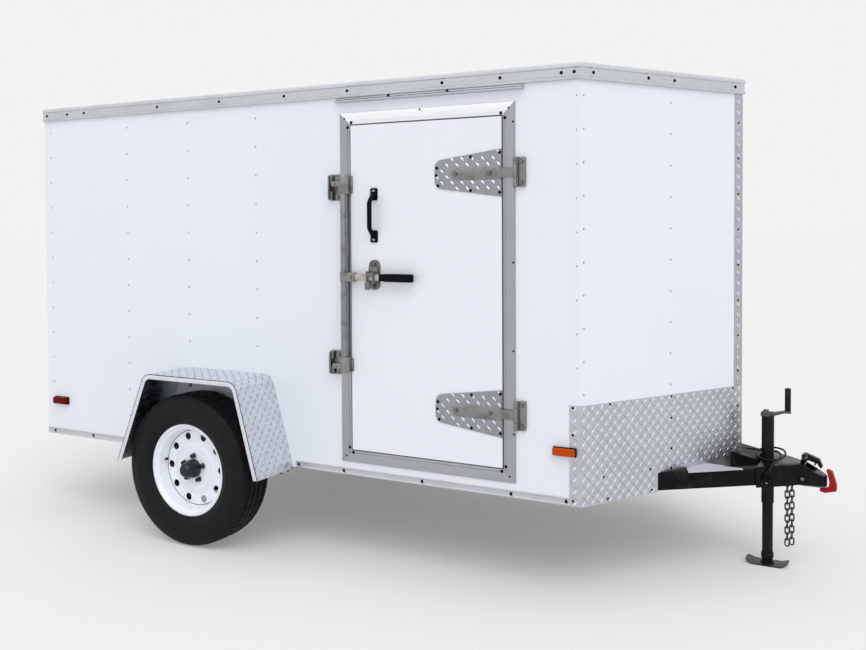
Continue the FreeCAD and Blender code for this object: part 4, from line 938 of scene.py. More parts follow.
class TRAILER_OT_roof_trim(bpy.types.Operator):
    """Add the grooved roof rails with their screws, the skirt screws and the drip cap screws"""

    bl_idname = "trailer.add_roof_trim"
    bl_label = "Roof and skirt trim"

    def execute(self, context):
        self.add_rails()
        self.add_skirt()
        self.add_screws()
        eased("drip_cap", "trim_aluminium", width=0.0008)
        return {"FINISHED"}

    def add_skirt(self):
        """Skirt trim with a rounded bead along its top and bottom edges."""
        low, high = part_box("skirt_trim")
        fender_low, fender_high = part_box("right_fender")
        tall = high.z - low.z
        proud = high.y - SKIN_Y
        ease, bead, groove = 0.001, 0.0055, 0.002
        flat = bead + groove
        profile = [(0.0, 0.0), (proud - ease, 0.0), (proud, ease), (proud, bead),
                   (proud - groove, flat), (proud - groove, tall - flat), (proud, tall - bead),
                   (proud, tall - ease), (proud - ease, tall), (0.0, tall)]
        rear_gap, front_gap = 0.006, 0.012
        bm = bmesh.new()
        for x0, x1 in ((low.x, fender_low.x - rear_gap), (fender_high.x + front_gap, high.x)):
            run(bm, profile, Vector((x0, -SKIN_Y, low.z)), Vector((x1, -SKIN_Y, low.z)), -LEFT, UP)
        mirrored(bm)
        piece(bm, "skirt_beads", "trailer", "trim_aluminium", ("skirt_trim",))

    def add_rails(self):
        """Rails with a rounded top, a wide groove for the screws and a turned-in foot."""
        low, high = RAIL_LOW, ROOF_TOP
        profile = [(0.0, low), (0.0105, low), (0.012, low + 0.0015), (0.012, low + 0.010),
                   (0.0085, low + 0.013), (0.0085, low + 0.043), (0.012, low + 0.046),
                   (0.012, high - 0.009), (0.010, high - 0.003), (0.005, high),
                   (-0.035, high), (-0.035, high - 0.006), (0.0, high - 0.006)]
        corner = Vector((CORNER_X, -SKIN_Y, 0))
        apex = Vector((APEX_X, 0, 0))
        rear = Vector((REAR_X, -SKIN_Y, 0))
        for body_side in SIDES:
            side_bm, nose_bm = bmesh.new(), bmesh.new()
            run(side_bm, profile, rear, corner, -LEFT, UP, end_cut=self.mitre())
            run(nose_bm, profile, corner, apex, NOSE_OUT, UP, start_cut=-self.mitre(),
                end_cut=LEFT)
            for bm in (side_bm, nose_bm):
                if body_side > 0:
                    bmesh.ops.scale(bm, vec=(1, -1, 1), verts=bm.verts)
                    outward(bm)
            label = "right" if body_side < 0 else "left"
            piece(side_bm, label + "_roof_rail", "trailer", "trim_aluminium",
                  ("side_roof_rails",))
            piece(nose_bm, label + "_nose_rail", "trailer", "trim_aluminium",
                  ("nose_roof_rails",))

    def mitre(self):
        """Normal of the plane through the front corner, halfway between side and nose."""
        return (AHEAD + NOSE_ALONG).normalized()

    def add_screws(self):
        """Screws in the rails' grooves, along the skirt and on the drip cap."""
        head = small_part("trim_screw", screw)
        groove = RAIL_LOW + 0.028
        bm = bmesh.new()
        rail_places = (-2.921, -2.771, -2.648, -2.148, -1.76, -1.385, -1.049, -0.587, -0.328,
                       -0.072, -0.02)
        for side in SIDES:
            for x in rail_places:
                stamp(bm, head, facing(spot(x, side * (SKIN_Y + 0.0085), groove), LEFT * side))
            for distance in (0.06, 0.345, 0.487, 0.843):
                place, out = nose_spot(distance, groove, 0.0085), NOSE_OUT
                if side > 0:
                    place, out = other_side(place), other_side(out)
                stamp(bm, head, facing(place, out))
            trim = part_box("skirt_trim")
            z = (trim[0].z + trim[1].z) / 2
            for x in (-2.90, -2.62, -2.35, -1.326, -1.083, -0.693, -0.289, -0.057):
                stamp(bm, head, facing(spot(x, side * (SKIN_Y + 0.002), z), LEFT * side))
        cap_back = -SKIN_Y - 0.004
        for x in (-0.845, -0.566):
            stamp(bm, head, facing(spot(x, cap_back, RAIL_LOW - 0.006), -LEFT))
        piece(bm, "trim_screws", "trailer", "screw_black")


# ---------------------------------------------------------------- side door

class TRAILER_OT_side_door(bpy.types.Operator):
    """Add the mitred door frame, the door's seal and the frame screws"""

    bl_idname = "trailer.add_side_door"
    bl_label = "Side door and frame"

    def execute(self, context):
        low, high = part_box("side_door_frame")
        self.add_members(low, high)
        self.add_seal()
        self.add_frame_screws(low, high)
        return {"FINISHED"}

    def add_members(self, low, high):
        """Four members with a stepped face, mitred with a fine joint at each corner."""
        wide = DOOR_FRAME_FACE
        proud = -SKIN_Y - low.y
        deep = high.y + SKIN_Y
        step = wide - 0.0125
        joint = 0.0004
        profile = [(0.0, 0.0), (proud - 0.003, 0.0), (proud - 0.0006, 0.0018), (proud, 0.0045),
                   (proud, step), (proud - 0.0018, step + 0.001), (proud - 0.0018, step + 0.0025),
                   (proud - 0.0004, step + 0.0036), (proud - 0.0004, wide - 0.0015),
                   (proud - 0.002, wide), (-deep, wide), (-deep, 0.018), (0.0, 0.018)]
        face = -SKIN_Y
        corners = [Vector((low.x, face, low.z)), Vector((high.x, face, low.z)),
                   Vector((high.x, face, high.z)), Vector((low.x, face, high.z))]
        # The head takes the near-white painted-highlight copy of the frame's aluminium, the
        # uprights the darker painted-shade copy.
        members = (("sill", "frame_level"), ("front", "frame_upright"), ("head", "frame_head"),
                   ("rear", "frame_upright"))
        for i, (name, finish) in enumerate(members):
            start, end = corners[i], corners[(i + 1) % 4]
            along = (end - start).normalized()
            inward = along.cross(LEFT)
            bm = bmesh.new()
            run(bm, profile, start + along * joint, end - along * joint, -LEFT, inward,
                start_cut=-(along - inward).normalized(), end_cut=(along + inward).normalized())
            piece(bm, "door_frame_" + name, "trailer", finish, ("side_door_frame",))

    def add_seal(self):
        """Rubber seal round the door's edge."""
        low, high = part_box("side_door")
        thick = 0.0042
        bm = bmesh.new()
        y0, y1 = low.y + 0.0012, low.y + 0.03
        for x0, x1, z0, z1 in ((low.x - thick, low.x, low.z - thick, high.z + thick),
                               (high.x, high.x + thick, low.z - thick, high.z + thick),
                               (low.x, high.x, low.z - thick, low.z),
                               (low.x, high.x, high.z, high.z + thick)):
            block(bm, (x0, y0, z0), (x1, y1, z1), 0.001)
        piece(bm, "side_door_seal", "side_door", "gasket")

    def add_frame_screws(self, low, high):
        """Two screws beside each mitre and small ones along the outer edges."""
        head = small_part("frame_screw", screw)
        dot = small_part("frame_rivet", rivet)
        bm, rivets = bmesh.new(), bmesh.new()
        face = low.y + 0.0004
        inset = 0.007
        for right in SIDES:
            x = (high if right > 0 else low).x - right * DOOR_FRAME_FACE
            for above in SIDES:
                z = (high if above > 0 else low).z - above * DOOR_FRAME_FACE
                for dx, dz in ((0.010, -0.012), (-0.008, 0.008)):
                    stamp(bm, head, facing((x + right * dx, face, z + above * dz), -LEFT))
                stamp(rivets, dot, facing((x + right * 0.026, face, z + above * 0.026), -LEFT))
        for z in (0.62, 0.95, 1.30, 1.853):
            stamp(rivets, dot, facing((high.x - inset, face, z), -LEFT))
        stamp(rivets, dot, facing(spot(-0.692, face, high.z - inset), -LEFT))
        piece(bm, "door_frame_screws", "trailer", "screw_black")
        piece(rivets, "door_frame_rivets", "trailer", "screw_black")


# The pin's knuckles: the strap's fills the middle, and the butt's two stand outside it.
KNUCKLE_RADIUS = 0.0085
KNUCKLE_INNER = 0.0290
KNUCKLE_OUTER = 0.0580


class TRAILER_OT_side_hinges(bpy.types.Operator):
    """Add the tread-plate backers, the pressed straps and the butts with their bolts"""

    bl_idname = "trailer.add_side_hinges"
    bl_label = "Side door hinges"

    def execute(self, context):
        low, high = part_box("side_hinge_straps")
        self.pin_x = high.x - KNUCKLE_RADIUS
        self.pin_y = low.y + KNUCKLE_RADIUS
        middle = (low.z + high.z) / 2
        half = (high.z - low.z) / 2 - 0.028
        backers, lugs, screws = bmesh.new(), bmesh.new(), bmesh.new()
        straps, bolts, butts, butt_bolts = (bmesh.new() for _ in range(4))
        for z in (middle - half, middle + half):
            self.add_backer(backers, lugs, screws, z)
            self.add_strap(straps, bolts, z)
            self.add_butt(butts, butt_bolts, z)
        piece(backers, "hinge_backers", "side_door", "backer_plate", ("side_hinge_backers",))
        # The falling bars take the painted-highlight copy of the tread plate.
        piece(lugs, "backer_bars", "side_door", "tread_lug", ("side_hinge_backers",))
        piece(screws, "backer_screws", "side_door", "screw_black")
        piece(straps, "hinge_straps", "side_door", "galvanised", ("side_hinge_straps",))
        piece(bolts, "strap_bolts", "side_door", "keeper_zinc")
        piece(butts, "hinge_butts", "trailer", "galvanised", ("side_hinge_butts",))
        piece(butt_bolts, "butt_bolts", "trailer", "keeper_zinc")
        return {"FINISHED"}

    def add_backer(self, backers, lugs, screws, z):
        """Tapered tread plate with a rounded rear end, and its screws near the edge."""
        low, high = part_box("side_hinge_backers")
        tall, short = 0.095, 0.060
        thick = high.y - low.y
        corner = 0.034
        wide = high.x - low.x
        slope = (tall - short) / wide
        rim = [Vector((wide, -tall, 0)), Vector((wide, tall, 0))]
        for above in (1, -1):
            centre = Vector((corner, above * (short - corner), 0))
            for step in range(9):
                turn = math.pi / 2 * step / 8
                turn = math.pi / 2 + turn if above > 0 else math.pi + turn
                rim.append(centre + corner * Vector((math.cos(turn), math.sin(turn), 0)))
        part = bmesh.new()
        prism(part, rim, Vector((0, 0, thick)))
        edges = [e for e in part.edges if all(v.co.z > thick / 2 for v in e.verts)]
        bmesh.ops.bevel(part, geom=edges, offset=0.0008, segments=1, affect="EDGES",
                        profile=0.5, material=-1)
        outward(part)
        join(backers, part, facing((low.x, high.y, z), -LEFT))

        def on_plate(u, v):
            off = abs(v - tall)
            inside = off < short + slope * u - 0.009 and 0.010 < u < wide - 0.008
            rounded_off = u < corner and off > short - corner + u - 0.008
            under_strap = u > 0.068 and off < 0.031
            return inside and not rounded_off and not under_strap

        bar = small_part("backer_bar", tread_lug)
        tread(backers, lugs, bar, Vector((low.x, low.y, z - tall)), AHEAD, UP, -LEFT, wide,
              2 * tall, on_plate)
        head = small_part("backer_screw", screw)
        for x, dz in ((-0.611, 0.026), (-0.614, -0.004), (-0.606, -0.046), (-0.457, 0.066),
                      (-0.458, -0.068), (-0.330, 0.080), (-0.330, -0.078)):
            stamp(screws, head, facing(spot(x, low.y, z + dz), -LEFT))

    def add_strap(self, straps, bolts, z):
        """Pressed strap: a long raised body with sloping edges, and a narrow neck to the pin."""
        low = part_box("side_hinge_straps")[0]
        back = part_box("side_hinge_backers")[0].y
        neck_x = spot(-0.326, 0, 0).x
        tall, neck_tall = 0.052, 0.039
        base, rise, slope = 0.0016, 0.0042, 0.0085
        part = bmesh.new()
        wide = neck_x - low.x
        rim = [Vector((wide, -tall / 2, 0)), Vector((wide, tall / 2, 0))]
        for step in range(17):
            turn = math.pi / 2 + math.pi * step / 16
            rim.append(Vector((tall / 2 + tall / 2 * math.cos(turn), tall / 2 * math.sin(turn), 0)))
        prism(part, rim, Vector((0, 0, base)))
        outward(part)
        top = [f for f in part.faces if f.normal.z > 0.9]
        bmesh.ops.inset_region(part, faces=top, thickness=slope, depth=rise, use_even_offset=True)
        join(straps, part, facing((low.x, back, z), -LEFT))
        neck = self.pin_x - neck_x + 0.012
        plate(straps, facing((neck_x - 0.012 + neck / 2, back, z), -LEFT), neck, neck_tall, 0.0052,
              0.002)
        plate(straps, facing((neck_x + 0.004, back - 0.0052, z), -LEFT), 0.008, neck_tall, 0.0012,
              0.001, 0.0004)
        reach = UP * (KNUCKLE_INNER - 0.0015)
        pin = Vector((self.pin_x, self.pin_y, z))
        barrel(straps, pin - reach, pin + reach, KNUCKLE_RADIUS)
        bolt = small_part("strap_bolt", hex_bolt)
        for x in (-0.524, -0.371):
            stamp(bolts, bolt, facing(spot(x, back - base - rise + 0.0002, z), -LEFT))

    def add_butt(self, butts, bolts, z):
        """Rounded plate on the wall with the two outer knuckles, the pin and two bolts."""
        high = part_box("side_hinge_butts")[1]
        frame_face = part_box("side_door_frame")[0].y
        rear = self.pin_x + 0.008
        tall = 0.118
        pin_radius, pin_reach = 0.0062, 0.0595
        wide = high.x - rear
        plate(butts, facing(((rear + high.x) / 2, -SKIN_Y, z), -LEFT), wide, tall,
              -SKIN_Y - frame_face + 0.004, 0.008, 0.002)
        pin = Vector((self.pin_x, self.pin_y, z))
        for side in SIDES:
            z0, z1 = sorted((z + side * KNUCKLE_INNER, z + side * KNUCKLE_OUTER))
            barrel(butts, pin + UP * side * KNUCKLE_INNER, pin + UP * side * KNUCKLE_OUTER,
                   KNUCKLE_RADIUS)
            block(butts, (self.pin_x, self.pin_y, z0), (rear + 0.004, frame_face, z1), 0.0006, 1)
        barrel(butts, pin - UP * pin_reach, pin + UP * pin_reach, pin_radius)
        bolt = small_part("butt_bolt", hex_bolt)
        for side in SIDES:
            stamp(bolts, bolt, facing(((rear + high.x) / 2, frame_face - 0.004, z + side * 0.041),
                                      -LEFT))


# The bar lock: its bar, and the heights of the cams, bearings and keepers along it.
BAR_RADIUS = 0.013
CAM_HEIGHTS = (0.842, 1.628)
BEARING_SPANS = ((0.815, 0.882), (1.582, 1.667))
KEEPER_SPANS = ((0.802, 0.906), (1.557, 1.670))


class TRAILER_OT_door_fittings(bpy.types.Operator):
    """Add the grab handle and the bar lock's own shapes"""

    bl_idname = "trailer.add_door_fittings"
    bl_label = "Grab handle and bar lock"

    def execute(self, context):
        self.add_grab_handle()
        self.add_bar()
        self.add_keepers()
        self.add_arm()
        return {"FINISHED"}

    def add_grab_handle(self):
        """Bow that curves out between two rectangular pads, each held by a screw."""
        low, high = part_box("grab_handle")
        x = (low.x + high.x) / 2
        reach = high.y - low.y
        pad = 0.052
        bm = bmesh.new()
        rings = []
        count = 33
        for i in range(count):
            t = i / (count - 1)
            z = low.z + 0.016 + (high.z - low.z - 0.032) * t
            rise = min(1.0, min(t, 1 - t) / 0.26)
            rise = rise * rise * (3 - 2 * rise)
            y = high.y - 0.006 - (reach - 0.0135) * rise
            made = bmesh.ops.create_circle(bm, cap_ends=False, segments=16, radius=1.0)
            for v in made["verts"]:
                wide = math.copysign(abs(v.co.x) ** 0.6, v.co.x) * (0.0115 - 0.0015 * rise)
                thick = math.copysign(abs(v.co.y) ** 0.7, v.co.y) * 0.0072
                v.co = Vector((x + wide, y + thick, z))
            rings.append(made["verts"])
        for a, b in zip(rings, rings[1:]):
            edges = list({e for v in a + b for e in v.link_edges})
            loops_a = [e for e in edges if all(v in a for v in e.verts)]
            loops_b = [e for e in edges if all(v in b for v in e.verts)]
            bmesh.ops.bridge_loops(bm, edges=loops_a + loops_b)
        for end_ring in (rings[0], rings[-1]):
            rim = {e for v in end_ring for e in v.link_edges if e.is_boundary}
            bmesh.ops.contextual_create(bm, geom=list(rim))
        outward(bm)
        heads = bmesh.new()
        head = small_part("handle_screw", screw)
        for z, end in ((low.z, 1), (high.z, -1)):
            middle = Vector((x, high.y, z + end * pad / 2))
            plate(bm, facing(middle, -LEFT), 0.034, pad, 0.0075, 0.006, 0.0025)
            stamp(heads, head, facing(middle + Vector((0, -0.0075, -end * 0.012)), -LEFT))
        piece(bm, "grab_handle_bow", "side_door", "black_plastic", ("grab_handle",))
        piece(heads, "grab_handle_screws", "side_door", "bare_steel")

    def add_bar(self):
        """Round bar with its end cams, held in bearings with rounded backs."""
        low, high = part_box("side_bar_lock")
        x = high.x - BAR_RADIUS
        y = low.y + BAR_RADIUS
        bm = bmesh.new()
        barrel(bm, Vector((x, y, low.z)), Vector((x, y, high.z)), BAR_RADIUS, 28, 0.0012)
        for z in CAM_HEIGHTS:
            block(bm, (low.x, y - 0.008, z - 0.0115), (x, y + 0.008, z + 0.0115), 0.003)
            block(bm, (low.x, y - 0.012, z - 0.0075), (low.x + 0.018, y + 0.008, z + 0.0075), 0.002)
        piece(bm, "lock_bar", "side_door", "zinc_steel", ("side_bar_lock",))
        bearings, bolts = bmesh.new(), bmesh.new()
        door_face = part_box("side_door")[0].y
        guard_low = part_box("side_bar_guides")[0]
        bolt = small_part("bearing_bolt", hex_bolt)
        for z0, z1 in BEARING_SPANS:
            middle = (z0 + z1) / 2
            tall = z1 - z0
            block(bearings, (x - 0.021, guard_low.y + 0.009, z0),
                  (x + 0.024, door_face - 0.0055, z1), 0.004, 3)
            barrel(bearings, Vector((x + 0.001, y, z0 + 0.003)), Vector((x + 0.001, y, z1 - 0.003)),
                   0.0158, 24, 0.002)
            plate(bearings, facing((x + 0.028, door_face, middle), -LEFT), 0.012, tall - 0.012,
                  0.009, 0.003)
            stamp(bolts, bolt, facing((x - 0.010, guard_low.y + 0.0085, z1 - 0.014), -LEFT))
        piece(bearings, "bar_bearings", "side_door", "zinc_steel", ("side_bar_guides",))
        piece(bolts, "bearing_bolts", "side_door", "galvanised")

    def add_keepers(self):
        """Keeper plates with a rolled hook for the cams, and two bolts each."""
        low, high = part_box("side_bar_keepers")
        bm, bolts = bmesh.new(), bmesh.new()
        bolt = small_part("keeper_bolt", hex_bolt)
        hook_x = low.x + 0.0125
        thick, half_gap = 0.004, 0.016
        for z0, z1 in KEEPER_SPANS:
            gap = (z0 + z1) / 2
            plate(bm, facing(((low.x + high.x) / 2, high.y, gap), -LEFT), high.x - low.x, z1 - z0,
                  thick, 0.005)
            for za, zb in ((z0 + 0.002, gap - half_gap), (gap + half_gap, z1 - 0.002)):
                hook = Vector((hook_x, high.y - 0.012, za))
                barrel(bm, hook, hook + UP * (zb - za), 0.0108, 20, 0.0012)
            plate(bm, facing((hook_x - 0.003, high.y, gap), -LEFT), 0.008, z1 - z0 - 0.01,
                  high.y - low.y - thick, 0.002)
            for z in (z1 - 0.018, z0 + 0.016):
                stamp(bolts, bolt, facing((high.x - 0.013, high.y - thick, z), -LEFT))
        piece(bm, "bar_keepers", "trailer", "keeper_zinc", ("side_bar_keepers",))
        piece(bolts, "keeper_bolts", "trailer", "galvanised")

    def add_arm(self):
        """Clamp on the bar, flat arm with its grip, and the hasp that locks it."""
        low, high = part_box("side_bar_handle")
        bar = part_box("side_bar_lock")
        door_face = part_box("side_door")[0].y
        bar_x, bar_y = bar[1].x - BAR_RADIUS, bar[0].y + BAR_RADIUS
        z = (low.z + high.z) / 2
        arm_back = bar_y - 0.004
        pivot_x = spot(-1.011, 0, 0).x
        clamp, arm, grip, hasp = (bmesh.new() for _ in range(4))
        clamp_half, clamp_face = 0.0195, bar_y - 0.017
        barrel(clamp, Vector((bar_x, bar_y, z - clamp_half)),
               Vector((bar_x, bar_y, z + clamp_half)), 0.0165, 28, 0.0015)
        block(clamp, (bar_x + 0.006, clamp_face, z - clamp_half),
              (low.x + 0.079, bar_y + 0.014, z + clamp_half), 0.003, 3)
        stamp(clamp, small_part("arm_pivot", hex_bolt), facing((pivot_x, clamp_face, z), -LEFT))
        grip_x = spot(-0.850, 0, 0).x
        arm_low = low.x + 0.072
        arm_thick = 0.0075
        plate(arm, facing(((arm_low + grip_x) / 2, arm_back, z), -LEFT), grip_x - arm_low + 0.02,
              0.027, arm_thick, 0.003)
        for x in (-0.952, -0.930):
            plate(arm, facing((spot(x, 0, 0).x, arm_back - arm_thick, z), -LEFT), 0.004, 0.026,
                  0.0012, 0.001, 0.0003)
        middle = Vector(((grip_x + high.x) / 2, arm_back + 0.006, z))
        plate(grip, facing(middle, -LEFT), high.x - grip_x, 0.034, 0.0195, 0.006, 0.004)
        plate(grip, facing((grip_x - 0.011, arm_back + 0.004, z), -LEFT), 0.024, 0.030, 0.014,
              0.003, 0.002)
        hasp_x = spot(-0.914, 0, 0).x
        hasp_z = 1.2385
        hasp_face = door_face - 0.005
        plate(hasp, facing((hasp_x, door_face, hasp_z), -LEFT), 0.056, 0.129,
              door_face - hasp_face, 0.0275, 0.0015, 10)
        plate(hasp, facing((hasp_x, hasp_face, hasp_z + 0.004), -LEFT), 0.044, 0.066,
              0.012, 0.006, 0.003)
        for side in SIDES:
            plate(hasp, facing((hasp_x + side * 0.0155, door_face - 0.015, z), -LEFT), 0.008, 0.052,
                  0.030, 0.003, 0.002)
        plate(hasp, facing((hasp_x, door_face - 0.041, z + 0.012), -LEFT), 0.038, 0.020, 0.0055,
              0.004, 0.002)
        bolt = small_part("hasp_bolt", hex_bolt)
        for dz in (0.0455, -0.046):
            stamp(hasp, bolt, facing((hasp_x, hasp_face, hasp_z + dz), -LEFT))
        tag_x = spot(-0.926, 0, 0).x
        plate(hasp, facing((tag_x, door_face - 0.036, z - 0.034), -LEFT), 0.024, 0.036, 0.010,
              0.004, 0.002)
        piece(clamp, "arm_clamp", "side_door", "zinc_steel", ("side_bar_handle",))
        piece(arm, "lock_arm", "side_door", "arm_zinc", ("side_bar_handle",))
        piece(grip, "lock_grip", "side_door", "black_plastic", ("side_bar_handle",))
        piece(hasp, "lock_hasp", "side_door", "keeper_zinc", ("side_bar_guides",))


# ---------------------------------------------------------------- guard and fenders

class TRAILER_OT_stone_guard(bpy.types.Operator):
    """Cover the stone guard and the nose strip with tread bars and their screws"""

    bl_idname = "trailer.add_stone_guard"
    bl_label = "Stone guard"

    def execute(self, context):
        lug = small_part("guard_lug", tread_lug)
        head = small_part("guard_screw", lambda part: cone(part, 12, 0.0055, 0.0036, 0.0, 0.0024))
        thick = 0.0025
        edge = 0.004
        side_wide, strip_wide = 0.043, 0.045
        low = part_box("stone_guard")[0].z
        tall = GUARD_TOP - low
        rail_start, rail_top = 0.385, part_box("tongue_rails")[1].z + 0.010
        lamp_low, lamp_high = 0.185, 0.235
        rising, falling, strip_rising, strip_falling, screws = (bmesh.new() for _ in range(5))

        def clear_of_rails(u, v):
            return low + v > rail_top or u < rail_start

        def clear_of_lamp(u, v):
            return not lamp_low < v < lamp_high

        tread(rising, falling, lug, nose_spot(edge, low, thick), NOSE_ALONG, UP, NOSE_OUT,
              NOSE_PANEL - 2 * edge, tall, clear_of_rails)
        tread(rising, falling, lug, spot(-side_wide, -SKIN_Y - thick, low), AHEAD, UP, -LEFT,
              side_wide, tall, clear_of_lamp)
        tread(strip_rising, strip_falling, lug,
              nose_spot(NOSE_PANEL - strip_wide, GUARD_TOP, thick), NOSE_ALONG, UP, NOSE_OUT,
              strip_wide - 0.002, RAIL_LOW - GUARD_TOP)
        for distance, z in ((0.149, 0.747), (0.477, 0.747), (0.840, 0.746), (0.478, 0.659),
                            (0.480, 0.534), (0.478, 0.453), (0.363, 0.464), (0.371, 0.379),
                            (0.137, 0.379), (0.115, 0.467)):
            stamp(screws, head, facing(nose_spot(distance, z, thick), NOSE_OUT))
        for z in (0.745, 0.641, 0.386):
            stamp(screws, head, facing(spot(-0.029, -SKIN_Y - thick, z), -LEFT))
        z, strip_pitch = 0.669, 0.151
        while z < RAIL_LOW - 0.02:
            stamp(screws, head, facing(nose_spot(NOSE_PANEL - 0.025, z, thick), NOSE_OUT))
            z += strip_pitch
        # Bars leaning one way take the painted-highlight copy of the tread plate, the others the
        # painted-shade copy; the strip has them the other way round.
        for bm, name, finish in ((rising, "guard_rising_bars", "tread_lug"),
                                 (falling, "guard_falling_bars", "tread_dull"),
                                 (strip_rising, "strip_rising_bars", "tread_dull"),
                                 (strip_falling, "strip_falling_bars", "tread_lug"),
                                 (screws, "guard_screws", "screw_black")):
            mirrored(bm)
            piece(bm, name, "trailer", finish)
        return {"FINISHED"}


class TRAILER_OT_fenders(bpy.types.Operator):
    """Add the bent fenders with their turned-in lip and tread bars"""

    bl_idname = "trailer.add_fenders"
    bl_label = "Fenders"

    def execute(self, context):
        sizes = context.scene.trailer_sizes
        lug = small_part("fender_lug", tread_lug)
        low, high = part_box("right_fender")
        sheet, rising, falling, bolts = (bmesh.new() for _ in range(4))
        thick = 0.003
        outer, inner, lip = (self.outline(inset) for inset in (0.0, thick, sizes.fender_lip))
        edge = LEFT * (low.y + 0.0015)
        prism(sheet, [p + edge for p in outer + inner[::-1]], LEFT * (high.y - edge.y))
        part = bmesh.new()
        prism(part, [p + edge for p in outer + lip[::-1]], LEFT * thick)
        outward(part)
        join(sheet, part)

        total = self.reach(outer)
        rows = int(total / sizes.lug_pitch)
        columns = int((high.y - low.y) / sizes.lug_pitch)
        for i in range(rows):
            place, along = self.walk(outer, (i + 0.5) * total / rows)
            out = along.cross(LEFT)
            for j in range(columns):
                y = low.y + (j + 0.5) * (high.y - low.y) / columns
                bm, turn = (rising, -1) if (i + j) % 2 == 0 else (falling, 1)
                stamp(bm, lug, facing(place + Vector((0, y, 0)), out, LEFT + along * turn))
        middle = self.outline(sizes.fender_lip / 2)
        total = self.reach(middle)
        count = int(total / (0.72 * sizes.lug_pitch))
        for i in range(count):
            place, along = self.walk(middle, (i + 0.5) * total / count)
            across = along.cross(LEFT)
            stamp(falling, lug, facing(place + edge, -LEFT, across * 1.4 - along))
        bolt = small_part("fender_bolt", hex_bolt)
        for x, z in ((-1.962, 0.690), (-1.62, 0.690)):
            stamp(bolts, bolt, facing(spot(x, -SKIN_Y, z), -LEFT))
        # The rising bars take the painted-shade copy of the fender plate; the falling bars and the
        # lip's bars the painted-highlight copy.
        for side, label in ((-1, "right"), (1, "left")):
            for bm, name, finish, replaced in (
                    (sheet, "_fender_sheet", "fender_plate", (label + "_fender",)),
                    (rising, "_fender_rising_bars", "fender_bar", ()),
                    (falling, "_fender_falling_bars", "fender_lug", ()),
                    (bolts, "_fender_bolts", "galvanised", ())):
                copy = bm.copy()
                if side > 0:
                    bmesh.ops.scale(copy, vec=(1, -1, 1), verts=copy.verts)
                outward(copy)
                piece(copy, label + name, "trailer", finish, replaced)
        for bm in (sheet, rising, falling, bolts):
            bm.free()
        return {"FINISHED"}

    def outline(self, inset):
        """Side outline of a fender from foot to foot over its round knees, set in from its face."""
        low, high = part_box("right_fender")
        radius = 0.054 - inset
        top = high.z - inset
        feet, knees = [], []
        for foot_x, knee_x, inward in ((low.x, CORNER_X - 2.006, 1),
                                       (high.x, CORNER_X - 1.4745, -1)):
            lean = (knee_x - foot_x) / (high.z - low.z)
            line_x = foot_x + inward * inset * math.hypot(1, lean)
            feet.append(Vector((line_x, 0, low.z)))
            knees.append(Vector((line_x + lean * (top - low.z), 0, top)))
        points = [feet[0]]
        steps = 12
        for before, at, after in ((feet[0], knees[0], knees[1]), (knees[0], knees[1], feet[1])):
            run_in, run_out = (at - before).normalized(), (after - at).normalized()
            turn = run_in.angle(run_out)
            middle = at + (run_out - run_in).normalized() * (radius / math.cos(turn / 2))
            start = at - run_in * radius * math.tan(turn / 2) - middle
            for step in range(steps + 1):
                points.append(middle + Matrix.Rotation(turn * step / steps, 3, LEFT) @ start)
        return points + [feet[1]]

    def reach(self, points):
        """Length along an outline."""
        return sum((b - a).length for a, b in zip(points, points[1:]))

    def walk(self, points, distance):
        """Place and direction a distance along an outline."""
        for a, b in zip(points, points[1:]):
            span = (b - a).length
            if distance <= span:
                break
            distance -= span
        return a.lerp(b, min(1.0, distance / span)), (b - a).normalized()


# ---------------------------------------------------------------- wheels

